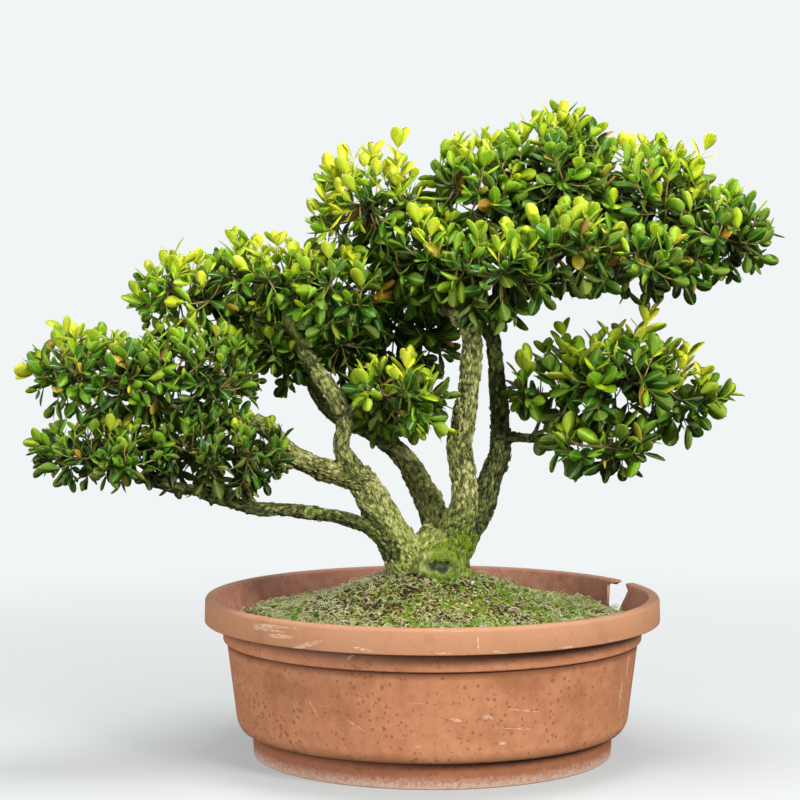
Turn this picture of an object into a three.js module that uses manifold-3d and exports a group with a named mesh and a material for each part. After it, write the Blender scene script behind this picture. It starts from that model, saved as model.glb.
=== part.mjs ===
// Box bonsai in a round terracotta-coloured training pot.
// Millimetres, +Z up, the front towards -Y, the origin at the middle of the pot's underside.
// The tree's stems rise from one base, and all its wood is one solid.
// Each cloud of foliage is a solid of its own: box leaves in opposite pairs that stand out of
// a small dense middle, which sits on the end of its branch. The pot, the soil and the moss
// carpet are the other pieces.

import * as THREE from 'three';
import { mergeVertices } from 'three/addons/utils/BufferGeometryUtils.js';
import Module from 'manifold-3d';

const wasm = await Module();
wasm.setup();

// Clearance between pieces that rest on or in each other.
const GAP = 0.35;

// The pot: an injection-moulded dish with a foot, a collar and a deep turned-down lip.
const POT_SEGMENTS = 28;
const RIM_RADIUS = 175;
const RIM_INNER = 165;
const POT_HEIGHT = 121.6;
const LIP_BOTTOM = 103;
const LIP_WALL = 3;
const COLLAR_RADIUS = 161.6;
const COLLAR_BOTTOM = 88.5;
const COLLAR_TOP = 102;
const PLATE = 3.4;
const FLARE_RADIUS = 167.2;
const BODY_TOP_RADIUS = 158.2;
const BODY_BOTTOM_RADIUS = 150.3;
const FOOT_RADIUS = 138;
const FOOT_HEIGHT = 20;
const FLOOR_TOP = 7;
const WALL = 2.8;
const DRAIN_RADIUS = 7;
const DRAIN_CIRCLE = 85;
const DRAIN_COUNT = 5;

// The inside of the wall from the rim down to the floor: radius and height.
const INNER_WALL = [
  [RIM_INNER, POT_HEIGHT - 1.2], [COLLAR_RADIUS - WALL + 0.4, 100], [BODY_TOP_RADIUS - WALL, 87],
  [BODY_BOTTOM_RADIUS - WALL, FOOT_HEIGHT + 7], [FOOT_RADIUS - WALL, FOOT_HEIGHT + WALL],
  [FOOT_RADIUS - WALL, FLOOR_TOP],
];

// The chip broken out of the rim, as seen from outside: distance along the rim and height.
const CHIP_AZIMUTH = THREE.MathUtils.degToRad(26);
const CHIP_REACH = 22;
const CHIP_OUTLINE = [
  [8.5, 130], [-13.5, 130], [-13.5, 121], [-18, 111], [-13, 99],
  [-5, 94], [5, 91], [13, 98], [14, 118], [8.5, 119.4],
];

// The turned-down part of the lip has broken off further, under the plate that joins it to the wall.
const LIP_CHIP_REACH = 3.2;
const LIP_CHIP_OUTLINE = [[0, 96], [24, 98], [27, 108], [24.5, 117.2], [0, 117.2]];

// The soil is mounded round the trunk: radius and height of its top, from the wall inwards.
const SOIL_TOP = [[157.6, 96], [120, 101], [84, 110.5], [54, 123.5], [22, 133.5], [0, 135]];
const MOSS_DEPTH = 6.2;
const MOSS_LUMP = 1.9;
const MOSS_RINGS = [157.2, 148, 131, 112, 93, 74, 52, 22];
const SOIL_GAP = 0.5;

// Box leaves: their size, how thick the blade is, and how they part from the twig.
const LEAF_LENGTH = 22.5;
const LEAF_WIDTH = 13;
const LEAF_RISE = 1.5;
const LEAF_REACH = 13;
const LEAF_DROOP = 1.2;
const TIP_ANGLE = 0.75;
const SPREAD_STEP = 0.35;

// The twigs of a cloud, and the share of its size that its knotty middle takes.
const STEM_RADIUS = 1.6;
const NODE_HEIGHT = 2.4;
const SHOOT_SPREAD = 0.85;
const FEWEST_LEAVES = 3;
const PAIRS_PER_TWIG = 2;
const TWIG_ATTEMPTS = 8;
const UPWARD_BEND = 0.12;
const CORE_SHARE = 0.46;
const POINT_SHARE = 0.68;

const MATERIALS = {
  pot: new THREE.MeshStandardMaterial({ color: 0xb9714c, roughness: 0.62, metalness: 0 }),
  soil: new THREE.MeshStandardMaterial({ color: 0x3a2c20, roughness: 0.95, metalness: 0 }),
  moss: new THREE.MeshStandardMaterial({ color: 0x75823a, roughness: 0.95, metalness: 0 }),
  wood: new THREE.MeshStandardMaterial({ color: 0x8b8758, roughness: 0.9, metalness: 0 }),
  leaf: new THREE.MeshStandardMaterial({ color: 0x4f8a1e, roughness: 0.4, metalness: 0 }),
};

// Wood routes: each point is x, y, z and the radius of the wood there.
const LIMBS = {
  crown: [[3, 5, 96, 27], [3, 5, 122, 31], [3, 4, 138, 28.5], [5, 3, 152, 25], [12, 3, 168, 19]],
  left_stem: [[-13, 2, 134, 17.5], [-22, 0, 152, 16], [-31, -8, 169, 14.2], [-40, -14, 187, 12.8],
    [-48, -18, 203, 12], [-57, -22, 216, 11.2]],
  left_arm: [[-54, -21, 212, 10], [-76, -26, 218, 8.4], [-95, -32, 226, 8], [-109, -38, 236, 7.5],
    [-122, -44, 252, 6.8], [-132, -48, 257, 6], [-150, -54, 264, 5], [-169, -58, 268, 4.3],
    [-190, -60, 271, 3.7], [-216, -58, 279, 3], [-247, -56, 287, 2.6]],
  left_riser: [[-57, -22, 214, 9], [-68, -26, 235, 6.9], [-68, -28, 245, 6.7], [-66, -30, 255, 6.6],
    [-70, -30, 270, 6.5], [-78, -28, 283, 6.4], [-89, -26, 297, 6.1], [-97, -24, 310, 5.5],
    [-103, -22, 322, 4.9], [-112, -18, 340, 4], [-124, -12, 358, 3.2]],
  low_arm: [[-31, -6, 162, 8], [-48, -16, 175, 6], [-67, -26, 183, 5.5], [-83, -34, 187, 5.4],
    [-99, -42, 190, 5.2], [-113, -48, 192, 5.1], [-131, -56, 193, 5.1], [-144, -60, 197, 4.8],
    [-159, -64, 202, 4.6], [-175, -68, 208, 4.3], [-196, -72, 212, 3.9], [-214, -74, 218, 3.3],
    [-234, -74, 232, 2.6]],
  back_stem: [[7, 8, 152, 14], [4, 17, 173, 11.2], [0, 26, 185, 10.5], [-4, 32, 194, 10],
    [-10, 38, 204, 9.1], [-17, 44, 216, 8.7], [-25, 50, 226, 8.2], [-36, 56, 235, 7.8],
    [-48, 62, 243, 7.3], [-59, 68, 247, 6.8], [-71, 73, 251, 6.1], [-83, 78, 258, 5.3],
    [-96, 82, 276, 4.4], [-104, 82, 304, 3.4]],
  centre_stem: [[12, 1, 150, 15], [17, -4, 168, 12.8], [22, -8, 184, 11.2], [25, -11, 196, 10.3],
    [24, -14, 215, 9.9], [22, -16, 228, 9.7], [21, -18, 241, 9.4], [24, -19, 254, 9],
    [26, -20, 268, 8.6], [28, -20, 281, 8.3], [29, -20, 293, 8.2], [30, -19, 306, 8.1],
    [30, -18, 318, 7.8], [27, -14, 331, 7]],
  centre_left_arm: [[28, -15, 328, 6.2], [14, -10, 340, 5.4], [-1, -6, 348, 4.9], [-15, 0, 355, 4.4],
    [-31, 4, 365, 3.9], [-40, 6, 381, 3.4], [-45, 5, 408, 2.8]],
  centre_right_arm: [[29, -16, 330, 6.2], [40, -18, 343, 5.6], [58, -22, 351, 5], [85, -28, 356, 4.4],
    [123, -34, 362, 3.8], [149, -36, 368, 3.4], [176, -34, 375, 3], [212, -20, 391, 2.4]],
  centre_riser: [[27, -14, 328, 6.2], [33, -6, 348, 5.2], [36, 6, 370, 4.4], [38, 14, 392, 3.7],
    [39, 18, 412, 3]],
  right_stem: [[16, 5, 152, 14], [25, 6, 168, 12], [33, 8, 178, 10.8], [38, 12, 188, 10],
    [42, 16, 199, 9.4], [46, 20, 211, 8.7], [51, 24, 222, 8.4], [53, 28, 232, 8.2],
    [53, 32, 244, 7.8], [53, 34, 257, 7.2], [52, 36, 271, 7], [51, 38, 284, 6.7],
    [50, 40, 298, 6.3], [48, 42, 313, 5.8], [49, 44, 331, 5.2], [54, 48, 348, 4.7],
    [65, 50, 368, 4.2], [79, 46, 389, 3.6], [94, 34, 420, 2.9]],
  right_crown_arm: [[62, 50, 364, 4], [93, 42, 380, 3.5], [124, 30, 394, 3.1], [148, 20, 408, 2.7],
    [164, 12, 420, 2.4]],
  right_arm: [[52, 31, 238, 6], [62, 24, 241, 4.2], [76, 16, 241, 3.6], [97, 8, 240, 3.3],
    [120, 0, 243, 3], [138, -6, 246, 2.8], [158, -10, 250, 2.6], [182, -12, 265, 2.2]],
};
const LIMB_SIDES = { crown: 10, left_stem: 8, centre_stem: 8, right_stem: 7, back_stem: 7 };
const OTHER_SIDES = 5;
const LIMB_STEP = 26;
const BRANCH_RADIUS = 4.2;
const BRANCH_TIP_RADIUS = 2.2;
const BRANCH_SIDES = 5;
const BRANCH_STEP = 24;

// The round scar of a stem cut off long ago, on the front of the base.
const SCAR_CENTRE = [4, -25.5, 147];
const SCAR_RADIUS = 15;
const SCAR_HEIGHT = 11;
const SCAR_LIP = 4.2;

// Foliage clouds: middle, half sizes, number of twigs, the limb that carries it and, where the
// cloud isn't at the limb's end, how far along the limb its own branch leaves.
const CLOUDS = [
  ['left_tip', [-248, -58, 292], [58, 48, 40], 6, 'left_arm'],
  ['left_low_tip', [-240, -74, 236], [60, 44, 30], 5, 'low_arm'],
  ['left_mid', [-180, -46, 294], [56, 54, 44], 4, 'left_arm', 0.66],
  ['left_low_mid', [-158, -60, 230], [60, 46, 34], 5, 'low_arm', 0.5],
  ['upper_left_tip', [-186, -20, 350], [48, 46, 38], 4, 'left_riser', 0.78],
  ['upper_left', [-126, -12, 364], [50, 52, 38], 4, 'left_riser'],
  ['inner_left', [-126, 6, 306], [48, 50, 36], 3, 'left_riser', 0.62],
  ['crown_left', [-48, 2, 414], [52, 50, 54], 5, 'centre_left_arm'],
  ['centre_left', [-76, -26, 352], [46, 48, 40], 3, 'centre_left_arm', 0.6],
  ['centre', [-26, 42, 318], [52, 50, 44], 3, 'back_stem', 0.5],
  ['centre_low', [-34, 36, 262], [46, 44, 26], 3, 'back_stem', 0.56],
  ['centre_high', [-4, -6, 380], [44, 50, 44], 3, 'centre_left_arm', 0.3],
  ['top_left', [36, 18, 430], [46, 52, 52], 4, 'centre_riser'],
  ['top', [96, 26, 440], [56, 56, 60], 5, 'right_stem'],
  ['top_right', [164, 10, 424], [56, 54, 52], 5, 'right_crown_arm'],
  ['right_tip', [218, -15, 398], [46, 46, 42], 5, 'centre_right_arm'],
  ['right_under', [158, -36, 376], [60, 46, 30], 3, 'centre_right_arm', 0.66],
  ['front_centre', [50, -44, 366], [48, 42, 42], 3, 'centre_right_arm', 0.2],
  ['front_right', [102, -42, 386], [46, 42, 38], 4, 'centre_right_arm', 0.42],
  ['low_inner', [96, 14, 276], [42, 44, 44], 4, 'right_arm', 0.3],
  ['low_right', [144, -14, 288], [50, 48, 44], 4, 'right_arm', 0.55],
  ['low_right_tip', [194, -12, 276], [48, 42, 40], 5, 'right_arm'],
  ['low_right_under', [130, -26, 238], [44, 36, 26], 3, 'right_arm', 0.5],
  ['front_spray', [-26, -44, 278], [46, 36, 34], 4, 'left_riser', 0.34],
  ['behind_riser', [-76, 36, 312], [46, 44, 40], 3, 'back_stem', 0.74],
  ['back_centre', [4, 88, 366], [54, 48, 42], 3, 'right_stem', 0.72],
  ['back_right', [122, 84, 396], [58, 46, 40], 3, 'right_stem', 0.84],
  ['back_left', [-110, 84, 322], [56, 48, 36], 3, 'back_stem'],
].map(([name, at, size, twigs, limb, branch]) => ({ name, at, size, twigs, limb, branch }));

// Long young shoots that stand out of a cloud: root, tip and the number of leaf pairs.
const SHOOTS = {
  left_tip: [[[-270, -58, 300], [-304, -62, 292], 2], [[-262, -60, 306], [-268, -66, 322], 1]],
  left_low_tip: [[[-258, -76, 238], [-296, -82, 238], 3]],
  upper_left_tip: [[[-192, -22, 360], [-196, -26, 378], 1]],
  upper_left: [[[-146, -12, 374], [-150, -14, 388], 1]],
  crown_left: [[[-34, 0, 436], [-24, -4, 466], 2], [[-62, 0, 430], [-76, -6, 444], 1]],
  top: [[[104, 24, 462], [102, 16, 484], 1], [[122, 28, 456], [126, 24, 476], 1]],
  top_right: [[[178, 8, 442], [180, 4, 462], 1], [[190, 6, 438], [206, 0, 462], 2]],
  right_tip: [[[228, -16, 398], [250, -20, 400], 1], [[226, -16, 388], [246, -24, 378], 1]],
  low_right: [[[152, -16, 290], [162, -20, 336], 3]],
  low_inner: [[[98, 12, 284], [100, 6, 318], 2]],
  low_right_tip: [[[198, -12, 274], [224, -14, 276], 2], [[192, -12, 278], [194, -16, 300], 1]],
};

// One seeded stream of random numbers from 0 to 1.
function randomStream(seed) {
  let state = seed >>> 0;
  return () => {
    state = (Math.imul(state, 1664525) + 1013904223) >>> 0;
    return state / 4294967296;
  };
}

function solidOf(geometry) {
  const bare = geometry.clone();
  bare.deleteAttribute('normal');
  bare.deleteAttribute('uv');
  const merged = mergeVertices(bare, 1e-4);
  const corners = merged.index.array;
  const triangles = [];
  for (let i = 0; i < corners.length; i += 3) {
    const [a, b, c] = corners.slice(i, i + 3);
    if (a !== b && b !== c && c !== a) triangles.push(a, b, c);
  }
  return new wasm.Manifold(new wasm.Mesh({
    numProp: 3,
    vertProperties: merged.attributes.position.array,
    triVerts: new Uint32Array(triangles),
  }));
}

function meshOf(name, solid, material) {
  const { vertProperties, triVerts } = solid.getMesh();
  const geometry = new THREE.BufferGeometry();
  geometry.setAttribute('position', new THREE.BufferAttribute(new Float32Array(vertProperties), 3));
  geometry.setIndex(new THREE.BufferAttribute(new Uint32Array(triVerts), 1));
  geometry.computeVertexNormals();
  const mesh = new THREE.Mesh(geometry, material);
  mesh.name = name;
  return mesh;
}

// The largest body of a solid: a scrap that a cut leaves loose is dropped.
function mainBody(solid) {
  const bodies = solid.decompose();
  return bodies.sort((a, b) => b.volume() - a.volume())[0];
}

function vectors(points) {
  return points.map(([x, y, z]) => new THREE.Vector3(x, y, z));
}

// Rotates a lathe profile of radius and height round +Z.
function turned(profile, segments) {
  const lathe = new THREE.LatheGeometry(profile.map(([r, z]) => new THREE.Vector2(r, z)), segments);
  return lathe.rotateX(Math.PI / 2);
}

// A round limb along a smooth route, made by bending a cylinder. grow makes it fatter and longer.
function limbSolid(route, sides, grow = 0, step = LIMB_STEP) {
  const curve = new THREE.CatmullRomCurve3(vectors(route));
  const segments = Math.max(2, Math.round(curve.getLength() / step));
  const frames = curve.computeFrenetFrames(segments, false);
  const geometry = new THREE.CylinderGeometry(1, 1, 1, sides, segments);
  const position = geometry.attributes.position;
  for (let i = 0; i < position.count; i += 1) {
    const ring = Math.round((position.getY(i) + 0.5) * segments);
    const at = curve.getUtoTmapping(ring / segments) * (route.length - 1);
    const before = Math.min(Math.floor(at), route.length - 2);
    const radius = THREE.MathUtils.lerp(route[before][3], route[before + 1][3], at - before) + grow;
    const point = curve.getPointAt(ring / segments);
    const past = ring === 0 ? -grow : ring === segments ? grow : 0;
    point.addScaledVector(frames.tangents[ring], past);
    point.addScaledVector(frames.normals[ring], position.getX(i) * radius);
    point.addScaledVector(frames.binormals[ring], -position.getZ(i) * radius);
    position.setXYZ(i, point.x, point.y, point.z);
  }
  return solidOf(geometry);
}

// The outline of a box leaf from its right shoulder round the tip: across and along, in shares.
const LEAF_RIM = [[0.42, 0.36], [0.46, 0.72], [0, 1], [-0.46, 0.72], [-0.42, 0.36]];

// A closed blade for testing whether a leaf has room. Root at the origin, blade along +Y.
function testBlade(length, width) {
  const rim = [[0, 0, 0], ...LEAF_RIM.map(([across, along]) => [across * width, along * length, 0])];
  const corners = [...rim, [0, 0.55 * length, LEAF_RISE + 0.6], [0, 0.55 * length, -0.9]];
  const top = rim.map((_, i) => [i, (i + 1) % rim.length, rim.length]);
  const under = rim.map((_, i) => [(i + 1) % rim.length, i, rim.length + 1]);
  const geometry = new THREE.BufferGeometry();
  geometry.setAttribute('position', new THREE.Float32BufferAttribute(corners.flat(), 3));
  geometry.setIndex([...top, ...under].flat());
  return geometry;
}

// Places a blade with its root at a point, its blade along a direction and its upper side facing up.
function placedBlade(geometry, root, direction, up) {
  const y = direction.clone().normalize();
  const x = y.clone().cross(up).normalize();
  const z = x.clone().cross(y);
  const matrix = new THREE.Matrix4().makeBasis(x, y, z).setPosition(root);
  return solidOf(geometry.clone().applyMatrix4(matrix));
}

function boxesMeet(a, b) {
  return a.min.every((low, k) => low <= b.max[k]) && b.min.every((low, k) => low <= a.max[k]);
}

// The dense middle of a cloud: a knot of overlapping young leaves whose points stand out,
// made of an icosahedron with a point raised on each face.
function coreSolid(cloud, random, grow = 0) {
  const loose = new THREE.IcosahedronGeometry(1, 0);
  loose.deleteAttribute('normal');
  loose.deleteAttribute('uv');
  const ball = mergeVertices(loose);
  const [base, triangles] = [ball.attributes.position, ball.index.array];
  const size = new THREE.Vector3(...cloud.size);
  const corners = [];
  const faces = [];
  const corner = (direction, share) => {
    const reach = direction.clone().multiply(size).multiplyScalar(share);
    reach.addScaledVector(direction, 1.4 * grow).add(new THREE.Vector3(...cloud.at));
    return corners.push(reach.toArray()) - 1;
  };
  for (let i = 0; i < base.count; i += 1) {
    const direction = new THREE.Vector3().fromBufferAttribute(base, i);
    corner(direction, CORE_SHARE * (0.8 + 0.4 * random()));
  }
  for (let i = 0; i < triangles.length; i += 3) {
    const [a, b, c] = triangles.slice(i, i + 3);
    const weights = [a, b, c].map(() => 0.35 + random());
    const direction = new THREE.Vector3();
    [a, b, c].forEach((k, n) => {
      direction.addScaledVector(new THREE.Vector3().fromBufferAttribute(base, k), weights[n]);
    });
    const point = corner(direction.normalize(), POINT_SHARE * (0.72 + 0.4 * random()));
    faces.push([a, b, point], [b, c, point], [c, a, point]);
  }
  const geometry = new THREE.BufferGeometry();
  geometry.setAttribute('position', new THREE.Float32BufferAttribute(corners.flat(), 3));
  geometry.setIndex(faces.flat());
  return solidOf(geometry);
}

// The pot's wall as a closed profile from the underside, up the outside and down the inside.
function potSolid() {
  const profile = [
    [0, 0], [FOOT_RADIUS, 0], [FOOT_RADIUS + 0.6, FOOT_HEIGHT],
    [BODY_BOTTOM_RADIUS - 4, FOOT_HEIGHT], [BODY_BOTTOM_RADIUS, FOOT_HEIGHT + 5],
    [BODY_TOP_RADIUS, COLLAR_BOTTOM], [COLLAR_RADIUS - 0.6, COLLAR_BOTTOM],
    [COLLAR_RADIUS, COLLAR_TOP], [FLARE_RADIUS, POT_HEIGHT - PLATE],
    [RIM_RADIUS - LIP_WALL, POT_HEIGHT - PLATE],
    [RIM_RADIUS - LIP_WALL, LIP_BOTTOM], [RIM_RADIUS, LIP_BOTTOM],
    [RIM_RADIUS, POT_HEIGHT - 2], [RIM_RADIUS - 2, POT_HEIGHT], [RIM_INNER + 1, POT_HEIGHT],
    ...INNER_WALL, [0, FLOOR_TOP],
  ];
  let pot = solidOf(turned(profile, POT_SEGMENTS));
  for (let i = 0; i < DRAIN_COUNT; i += 1) {
    const turn = (i + 0.5) * 2 * Math.PI / DRAIN_COUNT;
    const hole = new THREE.CylinderGeometry(DRAIN_RADIUS, DRAIN_RADIUS, 4 * FLOOR_TOP, 8);
    hole.rotateX(Math.PI / 2);
    hole.translate(DRAIN_CIRCLE * Math.cos(turn), DRAIN_CIRCLE * Math.sin(turn), 0);
    pot = pot.subtract(solidOf(hole));
  }
  const chip = chipCut(CHIP_OUTLINE, RIM_INNER - CHIP_REACH, 2 * CHIP_REACH);
  const lipChip = chipCut(LIP_CHIP_OUTLINE, RIM_RADIUS - LIP_WALL - LIP_CHIP_REACH, CHIP_REACH);
  return pot.subtract(chip).subtract(lipChip);
}

// What breaks out of the rim: an outline drawn as seen from outside, pushed outwards through it.
function chipCut(outline, from, depth) {
  const shape = new THREE.Shape(outline.map(([x, y]) => new THREE.Vector2(x, y)));
  const cut = new THREE.ExtrudeGeometry(shape, { depth, bevelEnabled: false });
  const outward = new THREE.Vector3(Math.cos(CHIP_AZIMUTH), Math.sin(CHIP_AZIMUTH), 0);
  const up = new THREE.Vector3(0, 0, 1);
  const place = new THREE.Matrix4().makeBasis(up.clone().cross(outward), up, outward);
  place.setPosition(outward.clone().multiplyScalar(from));
  return solidOf(cut.applyMatrix4(place));
}

// The soil fills the pot from its floor to the mound, with a plain hole for the foot of the tree.
function soilSolid(woodClear) {
  const fill = INNER_WALL.slice(2).reverse();
  const profile = [
    [0, FLOOR_TOP + GAP], ...fill.map(([r, z], i) => [r - SOIL_GAP, i === 0 ? z + GAP : z]),
    ...SOIL_TOP,
  ];
  return mainBody(solidOf(turned(profile, POT_SEGMENTS)).subtract(woodClear));
}

// How far the moss cushions swell above the carpet's mean, from the place on the mound.
function mossSwell(x, y) {
  const wide = Math.sin(x / 13 + 0.8) * Math.cos(y / 11 - 0.4);
  const small = Math.sin((x + 1.7 * y) / 7.5) * Math.cos((1.4 * x - y) / 8.5 + 1);
  return MOSS_LUMP * (0.65 * wide + 0.45 * small);
}

// A ring of moss cushions that lies on the mound, closed below by the mound's own shape.
function mossSolid(woodClear) {
  const under = SOIL_TOP.slice(0, -1).map(([r, z]) => [r, z + GAP]);
  const over = MOSS_RINGS.map((r) => [r, soilHeight(r) + GAP + MOSS_DEPTH]);
  const inwards = [over[over.length - 1], ...under.reverse(), ...over];
  const lathe = turned(inwards, POT_SEGMENTS);
  const position = lathe.attributes.position;
  for (let i = 0; i < position.count; i += 1) {
    const [x, y, z] = [position.getX(i), position.getY(i), position.getZ(i)];
    const r = Math.hypot(x, y);
    const above = z - soilHeight(r) - GAP;
    if (above > 0.5 * MOSS_DEPTH) {
      const edge = THREE.MathUtils.clamp((SOIL_TOP[0][0] - r) / 14, 0, 1);
      position.setZ(i, z + mossSwell(x, y) - (1 - edge) * 0.4 * MOSS_DEPTH);
    }
  }
  return mainBody(solidOf(lathe).subtract(woodClear));
}

function soilHeight(r) {
  const i = SOIL_TOP.findIndex(([radius]) => radius <= r);
  if (i <= 0) return SOIL_TOP[0][1];
  const [[r0, z0], [r1, z1]] = [SOIL_TOP[i - 1], SOIL_TOP[i]];
  return z0 + (z1 - z0) * (r - r0) / (r1 - r0);
}

// The short branch that carries a cloud which isn't at its limb's end.
function branchRoute(cloud) {
  const limb = LIMBS[cloud.limb];
  const at = cloud.branch * (limb.length - 1);
  const i = Math.floor(at);
  const start = limb[i].map((value, k) => THREE.MathUtils.lerp(value, limb[i + 1][k], at - i));
  const thick = Math.min(0.62 * start[3], BRANCH_RADIUS);
  const middle = start.map((value, k) => THREE.MathUtils.lerp(value, cloud.at[k], 0.5));
  return [
    [...start.slice(0, 3), thick],
    [middle[0], middle[1] + 3, middle[2] + 4, 0.8 * thick],
    [...cloud.at, BRANCH_TIP_RADIUS],
  ];
}

// All wood as one solid. grow gives the same wood a little fatter, to cut clearance with.
function woodSolid(grow) {
  const limbs = Object.entries(LIMBS).map(([name, route]) => (
    limbSolid(route, LIMB_SIDES[name] ?? OTHER_SIDES, grow)
  ));
  const branches = CLOUDS.filter((cloud) => cloud.branch !== undefined).map((cloud) => (
    limbSolid(branchRoute(cloud), BRANCH_SIDES, grow, BRANCH_STEP)
  ));
  const scar = new THREE.SphereGeometry(1, 10, 5).rotateX(Math.PI / 2);
  scar.scale(SCAR_RADIUS + grow, SCAR_LIP + grow, SCAR_HEIGHT + grow).translate(...SCAR_CENTRE);
  const cut = new THREE.SphereGeometry(1, 8, 5).rotateX(Math.PI / 2);
  cut.scale(0.62 * SCAR_RADIUS, SCAR_LIP, 0.62 * SCAR_HEIGHT).translate(...SCAR_CENTRE);
  cut.translate(0, -SCAR_LIP, 0);
  const whole = wasm.Manifold.union([...limbs, ...branches, solidOf(scar)]);
  return mainBody(grow > 0 ? whole : whole.subtract(solidOf(cut)));
}

// Directions spread evenly over a ball, each a little off its place.
function spreadDirections(count, random) {
  const golden = Math.PI * (3 - Math.sqrt(5));
  return Array.from({ length: count }, (_, i) => {
    const height = 1 - (2 * i + 1) / count;
    const turn = golden * i + 0.4 * random();
    const radius = Math.sqrt(1 - height * height);
    return new THREE.Vector3(radius * Math.cos(turn), radius * Math.sin(turn), height);
  });
}

// The plan of a leafy twig: rings of a three-sided stem, and a pair of leaves at each level.
// reach is the share of the stem's length, back from the tip, over which the pairs are spread.
function twigPlan(root, tip, pairs, random, reach = 0.7) {
  const growth = tip.clone().sub(root).normalize();
  const across = growth.clone().cross(new THREE.Vector3(0.3, 1, 0.2)).normalize();
  across.applyAxisAngle(growth, Math.PI * random());
  const leaves = [];
  for (let level = 0; level < pairs; level += 1) {
    const back = (pairs - 1 - level) / pairs;
    const at = tip.clone().lerp(root, reach * back).addScaledVector(growth, -0.5 * NODE_HEIGHT);
    const turn = level * Math.PI / 2;
    const spread = TIP_ANGLE + (pairs - 1 - level) * SPREAD_STEP;
    for (const face of [0, 2]) {
      const out = across.clone().applyAxisAngle(growth, turn + (face === 0 ? 5 : 1) * Math.PI / 6);
      const aside = across.clone().applyAxisAngle(growth, turn + (face === 0 ? Math.PI : 0));
      const angle = spread * (0.85 + 0.3 * random());
      const along = growth.clone().multiplyScalar(Math.cos(angle)).addScaledVector(aside, Math.sin(angle));
      const up = growth.clone().multiplyScalar(Math.sin(angle)).addScaledVector(aside, -Math.cos(angle));
      const right = up.clone().cross(along).normalize();
      const size = 0.88 + 0.24 * random();
      const start = at.clone().addScaledVector(out, 0.5 * STEM_RADIUS);
      leaves.push({ level, face, start, along, up, right, size });
    }
  }
  return { root, tip, growth, across, pairs, reach, leaves };
}

// The closed surface of a twig with the leaves that were kept. Each leaf grows out of one side
// of the stem: its upper skin from the upper ring of its level and its underside from the lower.
function twigSolid(plan, kept) {
  const { root, tip, growth, across, pairs, reach } = plan;
  const corners = [];
  const faces = [];
  const corner = (point) => corners.push(point.toArray()) - 1;
  const ring = (middle, radius, turn) => [0, 1, 2].map((k) => {
    const out = across.clone().applyAxisAngle(growth, turn + Math.PI / 2 + k * 2 * Math.PI / 3);
    return corner(middle.clone().addScaledVector(out, radius));
  });
  const wall = (a, b, c, d) => faces.push([a, b, c], ...(c === d ? [] : [[a, c, d]]));
  let below = ring(root, STEM_RADIUS, 0);
  faces.push([below[2], below[1], below[0]]);
  for (let level = 0; level < pairs; level += 1) {
    const back = (pairs - 1 - level) / pairs;
    const top = tip.clone().lerp(root, reach * back);
    const turn = level * Math.PI / 2;
    const lower = ring(top.clone().addScaledVector(growth, -NODE_HEIGHT), 0.85 * STEM_RADIUS, turn);
    const last = level === pairs - 1;
    const bud = last ? corner(top.clone().addScaledVector(growth, 0.6 * NODE_HEIGHT)) : 0;
    const upper = last ? [bud, bud, bud] : ring(top, 0.85 * STEM_RADIUS, turn);
    const shift = level === 0 ? 0 : 1;
    for (let k = 0; k < 3; k += 1) {
      const next = (k + 1) % 3;
      wall(below[(k + shift) % 3], below[(next + shift) % 3], lower[next], lower[k]);
      const leaf = kept.find((one) => one.level === level && one.face === k);
      if (leaf) {
        growLeaf(leaf, [lower[k], lower[next], upper[next], upper[k]], corner, faces);
      } else {
        wall(lower[k], lower[next], upper[next], upper[k]);
      }
    }
    below = upper;
  }
  const geometry = new THREE.BufferGeometry();
  geometry.setAttribute('position', new THREE.Float32BufferAttribute(corners.flat(), 3));
  geometry.setIndex(faces.flat());
  return solidOf(geometry);
}

// Adds one leaf that grows from the four corners of a stem side: lower left, lower right,
// upper right and upper left, the last two being one point at the bud.
function growLeaf({ start, along, up, right, size }, [a, b, c, d], corner, faces) {
  const point = (x, y, z) => corner(start.clone()
    .addScaledVector(right, x * LEAF_WIDTH * size)
    .addScaledVector(along, y * LEAF_LENGTH * size)
    .addScaledVector(up, z));
  const [rs, rt, t, lt, ls] = LEAF_RIM.map(([x, y]) => point(x, y, y > 0.9 ? -LEAF_DROOP : 0));
  const rise = point(0, 0.55, LEAF_RISE);
  const skin = [d, ls, lt, t, rt, rs, c];
  for (let i = 0; i + 1 < skin.length; i += 1) faces.push([rise, skin[i], skin[i + 1]]);
  if (c !== d) faces.push([rise, c, d]);
  faces.push([c, rs, b], [a, ls, d]);
  faces.push([a, b, rs], [a, rs, ls], [ls, rs, rt], [ls, rt, lt], [lt, rt, t]);
}

function leafTest({ start, along, up, size }) {
  return placedBlade(testBlade(LEAF_LENGTH * size + 1, LEAF_WIDTH * size + 1), start, along, up);
}

// A twig's solid and the test shapes of its leaves and stem, or nothing if too few leaves fit.
// The stem grows out of the cloud's own middle, which the leaves have to clear.
function twigThatFits(plan, core, isFree, fewest) {
  const tests = [];
  const kept = plan.leaves.filter((leaf) => {
    const test = leafTest(leaf);
    const free = [core, ...tests].every((other) => !meets(test, other)) && isFree(test);
    if (free) tests.push(test);
    return free;
  });
  if (kept.length < fewest) return null;
  const stem = twigSolid(plan, []);
  return isFree(stem) ? { solid: twigSolid(plan, kept), tests: [stem, ...tests] } : null;
}

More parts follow.
